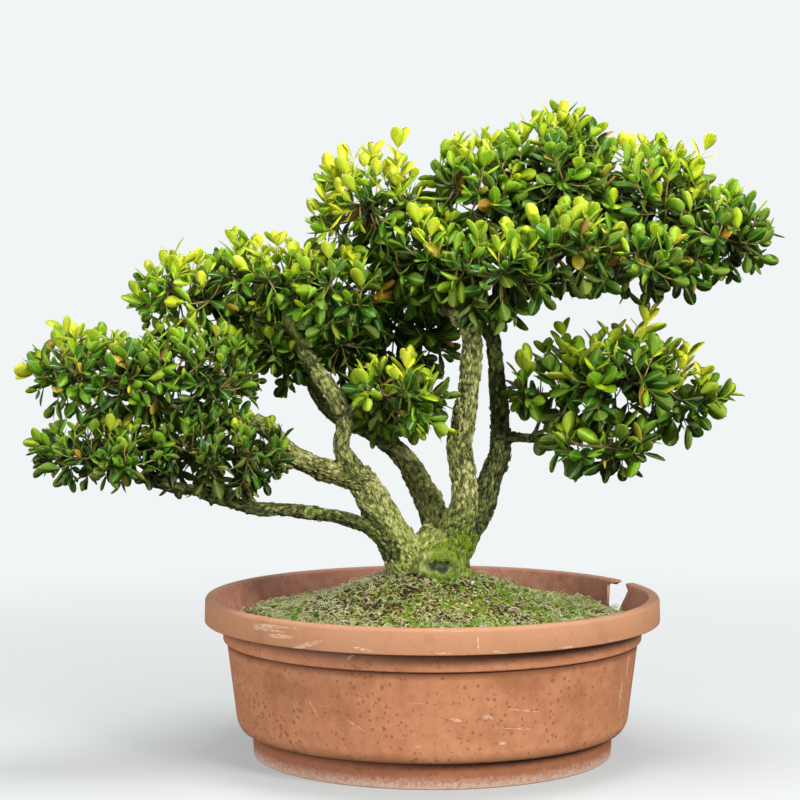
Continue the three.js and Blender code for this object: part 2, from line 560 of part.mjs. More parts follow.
// The twigs of one cloud, each growing out of its middle towards its own direction.
function cloudTwigs(cloud, core, random, isFree) {
  const centre = new THREE.Vector3(...cloud.at);
  const size = new THREE.Vector3(...cloud.size);
  const twigs = [];
  for (const direction of spreadDirections(cloud.twigs, random)) {
    for (let attempt = 0; attempt < TWIG_ATTEMPTS; attempt += 1) {
      const jitter = new THREE.Vector3(random() - 0.5, random() - 0.5, random() - 0.5);
      const aim = direction.clone().addScaledVector(jitter, 0.25 + 0.2 * attempt).normalize();
      const edge = aim.multiply(size);
      const middle = CORE_SHARE * edge.length();
      const length = Math.max(edge.length() - LEAF_REACH, middle + NODE_HEIGHT);
      const growth = edge.normalize();
      const root = centre.clone().addScaledVector(growth, 0.6 * middle);
      const tip = centre.clone().addScaledVector(growth, length);
      tip.z += UPWARD_BEND * length;
      const plan = twigPlan(root, tip, PAIRS_PER_TWIG, random);
      const twig = twigThatFits(plan, core, (test) => isFree(test, twigs), FEWEST_LEAVES);
      if (twig) {
        twigs.push(twig);
        break;
      }
    }
  }
  return twigs;
}

// Every cloud of foliage, each clear of the wood and of the clouds made before it.
function foliageSolids(woodClear) {
  const cores = CLOUDS.map((cloud, i) => coreSolid(cloud, randomStream(71 + i)));
  const coresClear = CLOUDS.map((cloud, i) => coreSolid(cloud, randomStream(71 + i), GAP));
  const done = [];
  for (const [i, cloud] of CLOUDS.entries()) {
    const random = randomStream(1009 + 17 * i);
    const others = [...coresClear.filter((_, k) => k !== i), ...done, woodClear];
    const isFree = (test, twigs) => {
      const taken = [...others, ...twigs.flatMap((twig) => twig.tests)];
      return taken.every((other) => !meets(test, other));
    };
    const twigs = [];
    for (const [from, to, pairs] of SHOOTS[cloud.name] ?? []) {
      const ends = [new THREE.Vector3(...from), new THREE.Vector3(...to)];
      const plan = twigPlan(...ends, pairs, random, SHOOT_SPREAD);
      const shoot = twigThatFits(plan, cores[i], (test) => isFree(test, twigs), 1);
      if (shoot) twigs.push(shoot);
    }
    twigs.push(...cloudTwigs(cloud, cores[i], random, (test, own) => isFree(test, [...twigs, ...own])));
    let solid = wasm.Manifold.union([cores[i], ...twigs.map((twig) => twig.solid)]);
    for (const earlier of coresClear.slice(0, i).filter((other) => meets(other, solid))) {
      solid = solid.subtract(earlier);
    }
    solid = mainBody(solid.subtract(woodClear));
    done.push(solid);
  }
  return done;
}

function meets(a, b) {
  return boxesMeet(a.boundingBox(), b.boundingBox()) && !a.intersect(b).isEmpty();
}

const wood = woodSolid(0);
const woodClear = woodSolid(GAP);
const tree = new THREE.Group();
tree.add(meshOf('pot', potSolid(), MATERIALS.pot));
tree.add(meshOf('soil', soilSolid(woodClear), MATERIALS.soil));
tree.add(meshOf('moss', mossSolid(woodClear), MATERIALS.moss));
tree.add(meshOf('trunk', wood, MATERIALS.wood));
for (const [i, solid] of foliageSolids(woodClear).entries()) {
  tree.add(meshOf(`leaves_${CLOUDS[i].name}`, solid, MATERIALS.leaf));
}

export default tree;
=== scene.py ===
# %% [markdown]
# # A common box bonsai in its training pot
# The tree has one base, five stems and a canopy of small glossy leaves in opposite pairs. It stands in a
# worn, terracotta-coloured plastic pot whose soil is covered with moss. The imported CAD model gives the
# frame: the place and size of the pot, the soil, the moss, the wood and each spray of leaves. This lesson
# dresses it.

# %% Load the frame
import math
import random
from itertools import chain, islice

import bmesh
import bpy
from mathutils import Matrix, Vector, kdtree, noise


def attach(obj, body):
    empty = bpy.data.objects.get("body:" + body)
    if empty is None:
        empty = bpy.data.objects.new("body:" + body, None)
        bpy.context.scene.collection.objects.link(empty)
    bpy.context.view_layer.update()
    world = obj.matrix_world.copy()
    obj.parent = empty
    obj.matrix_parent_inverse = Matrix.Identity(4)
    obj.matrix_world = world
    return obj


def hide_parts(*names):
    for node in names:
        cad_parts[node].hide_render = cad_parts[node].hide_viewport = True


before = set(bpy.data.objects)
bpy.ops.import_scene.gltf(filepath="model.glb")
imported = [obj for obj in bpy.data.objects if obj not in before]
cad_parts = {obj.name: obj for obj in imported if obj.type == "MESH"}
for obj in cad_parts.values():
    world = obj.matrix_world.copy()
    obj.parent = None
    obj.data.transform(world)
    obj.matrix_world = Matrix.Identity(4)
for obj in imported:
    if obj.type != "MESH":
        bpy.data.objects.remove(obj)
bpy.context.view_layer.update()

# %% [markdown]
# ## Small helpers
# Sizes in this lesson are real millimetres, and Blender's are metres, so `MM` turns one into the other.
# Colours are read off as sRGB hex values and turned linear, because shaders add light and not pixel values.
# One function adds any shader node, and one turns a finished bmesh into a piece that rides on the CAD body.

# %% Units, colour and shader nodes
MM = 0.001
UP = Vector((0, 0, 1))


def linear(hex_colour):
    """An sRGB colour such as 0xC07A58 as linear red, green, blue and alpha."""
    channels = [(hex_colour >> shift & 255) / 255 for shift in (16, 8, 0)]
    return [c / 12.92 if c <= 0.04045 else ((c + 0.055) / 1.055) ** 2.4 for c in channels] + [1]


def add(tree, kind, sockets=(), out=None, stops=(), **settings):
    """Adds a node with its settings, and gives each input named in sockets a value or another node's output.
    Returns the output called out, or the first one. stops are the places and colours of a colour ramp."""
    node = tree.nodes.new("ShaderNode" + kind)
    for name, value in settings.items():
        setattr(node, name, value)
    for name, value in dict(sockets).items():
        named = [s for s in node.inputs if s.enabled and s.name == name]
        socket = named[0] if named else node.inputs[name]
        if isinstance(value, bpy.types.NodeSocket):
            tree.links.new(value, socket)
        else:
            socket.default_value = value
    for i, (place, colour) in enumerate(stops):
        elements = node.color_ramp.elements
        element = elements[i] if i < 2 else elements.new(place)
        element.position, element.color = place, linear(colour)
    return node.outputs[out] if out else next(s for s in node.outputs if s.enabled)


def empty_tree(holder):
    """The node tree of a new material or sky, without the nodes that it starts with."""
    holder.use_nodes = True
    holder.node_tree.nodes.clear()
    return holder.node_tree


def add_output(tree, shader, kind="Material"):
    node = tree.nodes.new("ShaderNodeOutput" + kind)
    tree.links.new(shader, node.inputs["Surface"])


def new_material(name, **principled):
    """Starts a material with one Principled shader. Returns its tree, where each point is on the object, and
    the function that finishes the shader and returns the material."""
    material = bpy.data.materials.new(name)
    tree = empty_tree(material)

    def finish(sockets):
        add_output(tree, add(tree, "BsdfPrincipled", {**principled, **sockets}))
        return material

    return tree, add(tree, "TexCoord", out="Object"), finish


# %% From a bmesh to a piece
def make_piece(bm, name, materials, replaced=(), sharp=None):
    """Makes an object of the bmesh, smooth except at edges over the angle sharp, riding on the root body."""
    mesh = bpy.data.meshes.new(name)
    bm.to_mesh(mesh)
    bm.free()
    for material in materials:
        mesh.materials.append(material)
    mesh.shade_smooth()
    if sharp:
        mesh.set_sharp_from_angle(angle=math.radians(sharp))
    piece = bpy.data.objects.new(name, mesh)
    bpy.context.scene.collection.objects.link(piece)
    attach(piece, "root")
    if replaced:
        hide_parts(*replaced)
    triangles = sum(len(p.vertices) - 2 for p in mesh.polygons)
    print(f"{name}: {triangles} triangles")


# %% [markdown]
# ## Tubes
# Stems, twigs, dry strands and grass are all tubes whose middle line bends. A capped cylinder is cut into
# rings, and each ring is carried to its station of the route with a frame that turns as little as it can,
# so the tube doesn't twist. A spline through a few points gives the stations.

# %% Smooth routes and tubes along them
def smooth_route(points, step):
    """Stations along a Catmull-Rom curve through points of (x, y, z, radius), about one every step."""
    knots = [Vector(p) for p in points]
    ends = [2 * knots[0] - knots[1], *knots, 2 * knots[-1] - knots[-2]]
    stations = []
    for a, b, c, d in zip(ends, ends[1:], ends[2:], ends[3:]):
        count = max(1, round((c - b).length / step))
        for i in range(count):
            t = i / count
            curve = 2 * b + (c - a) * t + (2 * a - 5 * b + 4 * c - d) * t**2 + (3 * b - a - 3 * c + d) * t**3
            stations.append(curve / 2)
    return [*stations, knots[-1]]


def frames_along(stations):
    """For each station its point, the two directions across the route, and the radius."""
    points = [Vector(s[:3]) for s in stations]
    ahead = [(b - a).normalized() for a, b in zip(points, points[1:])]
    tangents = [ahead[0], *[(a + b).normalized() for a, b in zip(ahead, ahead[1:])], ahead[-1]]
    across = tangents[0].orthogonal().normalized()
    frames = []
    for point, tangent, station in zip(points, tangents, stations):
        across = (across - tangent * across.dot(tangent)).normalized()
        frames.append((point, across, tangent.cross(across), station[3]))
    return frames


def add_tube(bm, stations, sides):
    """Adds a closed tube to the bmesh and returns its vertices."""
    rings, first = len(stations), len(bm.verts)
    made = bmesh.ops.create_cone(bm, cap_ends=True, segments=sides, radius1=1, radius2=1, depth=rings - 1)
    rails = {e for v in made["verts"] for e in v.link_edges if abs(e.verts[0].co.z - e.verts[1].co.z) > 0.5}
    bmesh.ops.subdivide_edges(bm, edges=list(rails), cuts=rings - 2)
    bm.verts.ensure_lookup_table()
    verts = bm.verts[first:]
    frames = frames_along(stations)
    for v in verts:
        point, across, aside, radius = frames[round(v.co.z + (rings - 1) / 2)]
        v.co = point + (across * v.co.x + aside * v.co.y) * radius
    return verts


# %% [markdown]
# Leaves, moss shoots, dry strands and bark flakes are there by the thousand. Each kind is modelled once or
# a few times as a stamp: a small mesh and the rest places of its corners. Stamping sets the corners to
# rest, moves them by a matrix and adds them to the growing bmesh, with a number per copy for its colour.
# This is much faster than duplicating objects, and every piece stays one mesh.

# %% Stamps
def as_stamp(bm, name, *attributes):
    """Turns a bmesh in mm into a stamp in metres. Each named attribute holds one number per copy."""
    bmesh.ops.recalc_face_normals(bm, faces=bm.faces)
    bmesh.ops.scale(bm, vec=(MM, MM, MM), verts=bm.verts)
    shape = bpy.data.meshes.new(name)
    bm.to_mesh(shape)
    bm.free()
    for attribute in attributes:
        shape.attributes.new(attribute, "FLOAT", "POINT")
    corners = [0.0] * (3 * len(shape.vertices))
    shape.vertices.foreach_get("co", corners)
    return shape, corners


def stamp(bm, stamped, matrix, **values):
    """Adds a copy of a stamp to the bmesh, placed by a matrix in metres."""
    shape, corners = stamped
    shape.vertices.foreach_set("co", corners)
    shape.transform(matrix)
    for name, value in values.items():
        shape.attributes[name].data.foreach_set("value", [value] * len(shape.vertices))
    bm.from_mesh(shape)


# %% Turns and chance
def turn_to(x, y, z):
    """The turn that lays the X, Y and Z axes along three directions."""
    return Matrix((x, y, z)).transposed().to_4x4()


def standing_on(normal):
    """The turn that points +Z along a normal."""
    return normal.to_track_quat("Z", "Y").to_matrix().to_4x4()


def any_turn(rng):
    """A random angle of up to one full turn, in radians."""
    return 6.28 * rng.random()


def jitter(rng, spread=1):
    """A vector of three random numbers, each up to half the spread either way."""
    return Vector([spread * (rng.random() - 0.5) for _ in range(3)])


# %% [markdown]
# ## The pot
# The real pot is injection-moulded polypropylene: a foot ring, a body that narrows downwards, a collar and
# a deep lip turned down over it. It could be built of primitives, but a mould is a turned shape, so its
# wall is drawn once as a profile, the corners are rounded by a bevel of the profile's points, and a spin
# makes the pot. The chip in the rim and the drain holes are cut afterwards.

# %% The pot's profile
RIM_RADIUS, RIM_INNER, LIP_INNER, POT_HEIGHT, LIP_BOTTOM = 175, 165, 172, 121.6, 103
FLOOR_UNDERSIDE, FLOOR_TOP = 2.4, 7
POT_PROFILE = [  # radius, height and corner radius, from the underside up the outside and down the inside
    (128, FLOOR_UNDERSIDE, 0.8), (130, 0, 0.8), (138, 0, 1.2), (138.6, 20, 1.4), (146.3, 20.2, 2),
    (150.3, 25, 4.5), (158.2, 88.3, 1), (160.8, 88.5, 1.2), (161.6, 102, 3), (167.2, 118.2, 1),
    (LIP_INNER, 118.2, 1), (LIP_INNER, LIP_BOTTOM, 0.9), (RIM_RADIUS, LIP_BOTTOM, 0.9), (174.6, 120.2, 1.5),
    (173.2, POT_HEIGHT, 1.4), (166.2, POT_HEIGHT, 1.2), (164.8, 120, 1.4), (159.2, 100, 4), (155.4, 87, 3),
    (147.5, 27, 3), (135.2, 22.8, 3), (135.2, FLOOR_TOP, 1.5),
]
POT_STEPS = 144


def draw_line(bm, places, closed=False):
    """Adds vertices at radii and heights in metres, and the edges between them, ready to be spun."""
    verts = [bm.verts.new((r, 0, z)) for r, z in places]
    for a, b in zip(verts, [*verts[1:], verts[0]] if closed else verts[1:]):
        bm.edges.new((a, b))
    return verts


def spin_round(bm, steps):
    """Spins the line of a bmesh once round +Z, and merges the points at its seam and axis."""
    bmesh.ops.spin(bm, geom=bm.verts[:] + bm.edges[:], axis=UP, cent=(0, 0, 0), angle=2 * math.pi,
                   steps=steps, use_merge=True)
    bmesh.ops.remove_doubles(bm, verts=bm.verts, dist=0.01 * MM)


def turned_wall(profile, floor_low, floor_high, steps):
    """A closed turned solid from a profile with rounded corners. Two floor heights close it at the axis."""
    bm = bmesh.new()
    path = [(0, floor_low, 0), *profile, (0, floor_high, 0)]
    verts = draw_line(bm, [(r * MM, z * MM) for r, z, _ in path])
    for v, (_, _, rounding) in zip(verts, path):
        if rounding:
            bmesh.ops.bevel(bm, geom=[v], offset=rounding * MM, offset_type="OFFSET", affect="VERTICES",
                            segments=3, profile=0.5, material=-1, clamp_overlap=True)
    spin_round(bm, steps)
    bmesh.ops.recalc_face_normals(bm, faces=bm.faces)
    return bm


pot_wall = turned_wall(POT_PROFILE, FLOOR_UNDERSIDE, FLOOR_TOP, POT_STEPS)
print("pot wall:", len(pot_wall.faces), "faces, open edges:", sum(e.is_boundary for e in pot_wall.edges))

# %% [markdown]
# ### The chip and the drain holes
# A piece of the lip has broken off at the back right, with the ragged edge of brittle old plastic. The
# broken outline is drawn on a flat face as seen from outside, extruded through the wall, and taken away
# with a Boolean. The turned-down part of the lip broke off further than the rest, so it has an outline of
# its own.

# %% Cut the chip and the drain holes
CHIP_AZIMUTH = 26
CHIP_OUTLINE = [(8.5, 130), (-11.5, 130), (-12, 121.4), (-20.5, 117), (-18, 111), (-15.3, 105.8), (-13, 99),
                (-5, 94), (4, 92), (6, 98), (8.5, 106), (13.8, 118), (11.2, 118.9), (8.5, 119.6)]
LIP_CHIP_OUTLINE = [(0, 96), (12, 97.5), (24, 98), (25.4, 102), (27, 108), (25.2, 112), (24.5, 117.2),
                    (0, 117.2)]
# How far the cutters reach, and how deep the second one goes into the lip.
CHIP_REACH, LIP_CHIP_DEPTH = 22, 6.2
DRAIN_RADIUS, DRAIN_CIRCLE, DRAIN_COUNT, DRAIN_DEPTH = 7, 85, 5, 40


def prism(outline, matrix, depth):
    """A closed prism of a flat outline, extruded along its own +Z."""
    bm = bmesh.new()
    face = bm.faces.new([bm.verts.new((x * MM, y * MM, 0)) for x, y in outline])
    made = bmesh.ops.extrude_face_region(bm, geom=[face])["geom"]
    far = [g for g in made if isinstance(g, bmesh.types.BMVert)]
    bmesh.ops.translate(bm, vec=(0, 0, depth * MM), verts=far)
    bmesh.ops.recalc_face_normals(bm, faces=bm.faces)
    bmesh.ops.transform(bm, matrix=matrix, verts=bm.verts)
    return bm


def plain_object(bm, name):
    mesh = bpy.data.meshes.new(name)
    bm.to_mesh(mesh)
    bm.free()
    made = bpy.data.objects.new(name, mesh)
    bpy.context.scene.collection.objects.link(made)
    return made


def applied(work, *helpers):
    """The mesh of an object with its modifiers applied, as a bmesh. The object and helpers are removed."""
    evaluated = work.evaluated_get(bpy.context.evaluated_depsgraph_get())
    bm = bmesh.new()
    bm.from_mesh(evaluated.to_mesh())
    evaluated.to_mesh_clear()
    for used in (work, *helpers):
        bpy.data.objects.remove(used)
    return bm


def cut_by(bm, cutters):
    work = plain_object(bm, "work")
    helpers = [plain_object(cutter, "cutter") for cutter in cutters]
    for helper in helpers:
        modifier = work.modifiers.new("cut", "BOOLEAN")
        modifier.operation, modifier.solver, modifier.object = "DIFFERENCE", "MANIFOLD", helper
    return applied(work, *helpers)


chip_turn = math.radians(CHIP_AZIMUTH)
outward = Vector((math.cos(chip_turn), math.sin(chip_turn), 0))
across_chip = turn_to(UP.cross(outward), UP, outward)
cutters = [prism(outline, Matrix.Translation(outward * start * MM) @ across_chip, depth)
           for outline, start, depth in ((CHIP_OUTLINE, RIM_INNER - CHIP_REACH, 2 * CHIP_REACH),
                                         (LIP_CHIP_OUTLINE, RIM_RADIUS - LIP_CHIP_DEPTH, CHIP_REACH))]
for i in range(DRAIN_COUNT):
    hole = bmesh.new()
    bmesh.ops.create_cone(hole, cap_ends=True, segments=24, radius1=DRAIN_RADIUS * MM,
                          radius2=DRAIN_RADIUS * MM, depth=DRAIN_DEPTH * MM)
    turn = (i + 0.5) * 2 * math.pi / DRAIN_COUNT
    bmesh.ops.translate(hole, verts=hole.verts,
                        vec=(DRAIN_CIRCLE * math.cos(turn) * MM, DRAIN_CIRCLE * math.sin(turn) * MM, 0))
    cutters.append(hole)
pot_shape = cut_by(pot_wall, cutters)
print("pot after the cuts:", len(pot_shape.faces), "faces")

# %% [markdown]
# ### Old terracotta-coloured polypropylene
# Moulded polypropylene has an IOR near 1.49 and a satin skin that chalks and scratches with the years. The
# colour is mixed through, so scratches show pale and not bare. On this pot the lip carries a few scraped
# lines, the body has hundreds of small dark specks of lichen and a few scrapes, and the foot is dusty.
# Scrapes and stains are placed on the wall as if it were unrolled: by the arc round the pot and the height.

# %% The pot's finish
POT_COLOUR, POT_WARM, POT_DULL = 0xBE805C, 0xCB9069, 0xAC7050
SPECK_COLOUR, DUST_COLOUR, SCRAPE_COLOUR, STAIN_COLOUR = 0x7C4A32, 0xD9C3B2, 0xE6C6AC, 0x945F3A
# GROOVE_SHADE_COLOUR is painted shade in the pot's grooves, mixed with some grime.
GROOVE_SHADE_COLOUR, LIP_COLOUR, FOOT_COLOUR, WORN_COLOUR = 0x45160A, 0xAF805F, 0x8C5239, 0x8F6A52
# The inner colours are painted shade on the inside of the wall, which lies in the rim's shade.
INNER_SHADE_DARK, INNER_SHADE_COLOUR, INNER_SHADE_PALE = 0x824F44, 0x9C6756, 0xAC7A68
UNROLL_RADIUS = 165 * MM
BANDS = [  # colour, the heights in mm where it begins and is full, and its share there
    (LIP_COLOUR, 102.6, 104, 0.8), (WORN_COLOUR, 118, 121, 0.5), (FOOT_COLOUR, 20.4, 19, 0.7),
]
GROOVES = [(13, 20), (82, 88.3), (92, 102.6)]  # where the painted shade and grime of each groove begin and end, in mm
SCRAPES = [  # arc, height, half length, half height in mm and slope in degrees, from the front of the pot
    (-116, 117.4, 36, 1.6, 1), (-120, 113.8, 34, 1.4, 2), (-110, 110.6, 24, 3.2, 4),
    (-126, 115.6, 22, 2.6, 3), (-88, 106.5, 24, 3, 18), (-46, 106.5, 12, 2.4, -12), (-60, 98, 6, 1.8, 30),
    (31, 111.5, 1.2, 11, 3), (46, 104.5, 9, 1.2, -8), (8, 104.8, 10, 1.4, 0), (96, 104.6, 12, 1.4, 0),
    (19, 53.5, 9, 2.4, -14), (43, 55, 8, 3.4, -8), (56, 35, 7, 2.6, 0), (73, 58, 28, 1.1, -9),
    (68, 45, 34, 0.9, -6), (-10, 34, 7, 1.4, 8), (190, 56, 4, 28, 4), (199, 76, 5, 16, 0),
    (-96, 57, 1.4, 14, 34), (-60, 48, 18, 0.8, -28),
]
STAINS = [(122, 62, 34, 34, 0), (84, 80, 60, 12, 0), (-60, 58, 34, 30, 20), (-120, 70, 40, 26, 0)]


def marks_on_wall(tree, unrolled, marks):
    """Soft ellipses on the unrolled wall, 1 in their middles and 0 outside. marks are like SCRAPES."""
    spots = 0.0
    for arc, height, half_length, half_height, slope in marks:
        local = add(tree, "Mapping", {"Vector": unrolled, "Location": (arc * MM, height * MM, 0),
                                      "Rotation": (0, 0, math.radians(slope)),
                                      "Scale": (half_length * MM, half_height * MM, 1)},
                    vector_type="TEXTURE")
        spot = add(tree, "TexGradient", {"Vector": local}, out="Fac", gradient_type="SPHERICAL")
        spots = add(tree, "Math", {0: spots, 1: spot}, operation="MAXIMUM")
    return spots


def pot_finish():
    tree, place, finish = new_material("aged_polypropylene")
    split = add(tree, "SeparateXYZ", {"Vector": place}, out="X").node
    x, y, z = split.outputs
    back = add(tree, "Math", {0: y, 1: -1.0}, operation="MULTIPLY")
    azimuth = add(tree, "Math", {0: x, 1: back}, operation="ARCTAN2")
    arc = add(tree, "Math", {0: azimuth, 1: UNROLL_RADIUS}, operation="MULTIPLY")
    unrolled = add(tree, "CombineXYZ", {"X": arc, "Y": z})

    # The moulded colour drifts between warmer and duller over about 60 mm, with finer clouds of 8 mm.
    drift = add(tree, "TexNoise", {"Vector": place, "Scale": 1 / (60 * MM), "Detail": 3.0})
    clouds = add(tree, "TexNoise", {"Vector": place, "Scale": 1 / (8 * MM), "Detail": 6.0, "Roughness": 0.65})
    both = add(tree, "Mix", {"Factor": 0.5, "A": drift, "B": clouds}, data_type="FLOAT")
    colour = add(tree, "ValToRGB", {"Fac": both}, out="Color",
                 stops=[(0.33, POT_DULL), (0.5, POT_COLOUR), (0.68, POT_WARM)])

    # The lip has chalked to a paler, greyer tone and its upper edge is worn, and the foot is darker.
    bands = []
    for shade, begins, full, share in BANDS:
        bands.append(add(tree, "MapRange", {"Value": z, "From Min": begins * MM, "From Max": full * MM,
                                            "To Max": share}))
        colour = add(tree, "Mix", {"Factor": bands[-1], "A": colour, "B": linear(shade)}, data_type="RGBA")

    # Lichen and dirt specks of 1 to 3 mm: round cells with a ragged edge, larger where a wide noise is high.
    spots = add(tree, "TexVoronoi", {"Vector": place, "Scale": 1 / (4.9 * MM)}, out="Distance")
    ragged = add(tree, "TexNoise", {"Vector": place, "Scale": 1 / (2.6 * MM), "Detail": 6.0,
                                    "Roughness": 0.65})
    patches = add(tree, "TexNoise", {"Vector": place, "Scale": 1 / (30 * MM), "Detail": 3.0})
    crowd = add(tree, "MapRange", {"Value": patches, "From Min": 0.35, "From Max": 0.66, "To Min": 0.07,
                                   "To Max": -0.15})
    edge = add(tree, "Math", {0: ragged, 1: 0.9, 2: spots}, operation="MULTIPLY_ADD")
    edge = add(tree, "Math", {0: edge, 1: crowd}, operation="ADD")
    speck = add(tree, "MapRange", {"Value": edge, "From Min": 0.69, "From Max": 0.55, "To Max": 0.6})
    below_lip = add(tree, "MapRange", {"Value": z, "From Min": 100 * MM, "From Max": 88 * MM, "To Min": 0.3})
    speck = add(tree, "Math", {0: speck, 1: below_lip}, operation="MULTIPLY")
    colour = add(tree, "Mix", {"Factor": speck, "A": colour, "B": linear(SPECK_COLOUR)}, data_type="RGBA")

    # Painted shade, with some dark reddish grime, darkens the three grooves: above the foot, under the collar
    # and under the lip.
    height = add(tree, "Math", {0: z, 1: POT_HEIGHT * MM}, operation="DIVIDE")
    groove_shade = add(tree, "ValToRGB", {"Fac": height}, out="Color",
                stops=[(at / POT_HEIGHT, shade) for low, groove in GROOVES
                       for at, shade in ((low, 0x000000), (groove, 0xFFFFFF), (groove + 0.4, 0x000000))])
    groove_shade = add(tree, "Math", {0: groove_shade, 1: 0.9}, operation="MULTIPLY")
    colour = add(tree, "Mix", {"Factor": groove_shade, "A": colour, "B": linear(GROOVE_SHADE_COLOUR)}, data_type="RGBA")

    # Brownish stains, wide and soft, that gather on both sides of the body and below the collar.
    stain = add(tree, "TexNoise", {"Vector": place, "Scale": 1 / (26 * MM), "Detail": 5.0, "Distortion": 0.6})
    gathered = marks_on_wall(tree, unrolled, STAINS)
    stain = add(tree, "Math", {0: gathered, 1: 0.3, 2: stain}, operation="MULTIPLY_ADD")
    stain = add(tree, "MapRange", {"Value": stain, "From Min": 0.54, "From Max": 0.82, "To Max": 0.5})
    colour = add(tree, "Mix", {"Factor": stain, "A": colour, "B": linear(STAIN_COLOUR)}, data_type="RGBA")

    # Scrapes: an ellipse of each scrape's size and slope on the unrolled wall, broken up by a streaky noise.
    scraped = marks_on_wall(tree, unrolled, SCRAPES)
    long_way = add(tree, "Mapping", {"Vector": unrolled, "Scale": (0.22, 1, 1)})
    streaks = add(tree, "TexNoise", {"Vector": long_way, "Scale": 1 / (1.0 * MM), "Detail": 6.0,
                                     "Roughness": 0.75})
    scraped = add(tree, "MapRange", {"Value": scraped, "From Min": 0.0, "From Max": 0.6, "To Min": -0.3,
                                     "To Max": 0.07})
    scrape = add(tree, "Math", {0: scraped, 1: streaks}, operation="ADD")
    scrape = add(tree, "MapRange", {"Value": scrape, "From Min": 0.5, "From Max": 0.62, "To Max": 0.7})

    # Hairline scratches all over, from a noise stretched along two slanting directions.
    hair = None
    for slant in (28, -14):
        turned = add(tree, "Mapping", {"Vector": unrolled, "Rotation": (0, 0, math.radians(slant)),
                                       "Scale": (0.035, 1, 1)})
        lines = add(tree, "TexNoise", {"Vector": turned, "Scale": 1 / (1.1 * MM), "Detail": 1.0})
        line = add(tree, "MapRange", {"Value": lines, "From Min": 0.74, "From Max": 0.8, "To Max": 0.3})
        hair = line if hair is None else add(tree, "Math", {0: hair, 1: line}, operation="MAXIMUM")
    pale = add(tree, "Math", {0: scrape, 1: hair}, operation="MAXIMUM")
    colour = add(tree, "Mix", {"Factor": pale, "A": colour, "B": linear(SCRAPE_COLOUR)}, data_type="RGBA")

    # Chalky dust lies on the foot and thins out towards its top.
    grit = add(tree, "TexNoise", {"Vector": place, "Scale": 1 / (2.5 * MM), "Detail": 6.0, "Roughness": 0.7})
    low = add(tree, "MapRange", {"Value": z, "From Min": 17 * MM, "From Max": 1 * MM, "To Max": 0.44})
    dust = add(tree, "Math", {0: grit, 1: low}, operation="MULTIPLY")
    dust = add(tree, "MapRange", {"Value": dust, "From Min": 0.1, "From Max": 0.22, "To Max": 0.6})
    colour = add(tree, "Mix", {"Factor": dust, "A": colour, "B": linear(DUST_COLOUR)}, data_type="RGBA")

    # Painted shade: the inside of the wall is coloured darker and redder, as it lies in the shade of the rim.
    inside = add(tree, "Attribute", out="Fac", attribute_name="inside")
    damp = add(tree, "Math", {0: inside, 1: 0.82}, operation="MULTIPLY")
    inner = add(tree, "ValToRGB", {"Fac": clouds}, out="Color",
                stops=[(0.3, INNER_SHADE_DARK), (0.5, INNER_SHADE_COLOUR), (0.68, INNER_SHADE_PALE)])
    colour = add(tree, "Mix", {"Factor": damp, "A": colour, "B": inner}, data_type="RGBA")

    # The skin is satin where it's clean, and duller in the clouds, under the dust and on the chalked lip.
    rough = add(tree, "MapRange", {"Value": clouds, "From Min": 0.3, "From Max": 0.7, "To Min": 0.46,
                                   "To Max": 0.66})
    rough = add(tree, "Math", {0: rough, 1: dust}, operation="ADD")
    rough = add(tree, "Math", {0: bands[0], 1: 0.25, 2: rough}, operation="MULTIPLY_ADD")
    relief = add(tree, "Math", {0: grit, 1: pale}, operation="SUBTRACT")
    bump = add(tree, "Bump", {"Height": relief, "Strength": 0.25, "Distance": 0.3 * MM})
    return finish({"Base Color": colour, "Roughness": rough, "Normal": bump, "IOR": 1.49})


# %% Mark the inside of the wall and finish the pot
FOOT_TOP = 20
inside_layer = pot_shape.verts.layers.float.new("inside")
pot_shape.normal_update()
for v in pot_shape.verts:
    flat = Vector((v.co.x, v.co.y, 0))
    within = v.co.z > FOOT_TOP * MM and flat.length < (RIM_INNER + 1) * MM
    v[inside_layer] = 1.0 if within and v.normal.dot(flat) < -0.2 * flat.length else 0.0
make_piece(pot_shape, "training_pot", [pot_finish()], ["pot"], sharp=32)
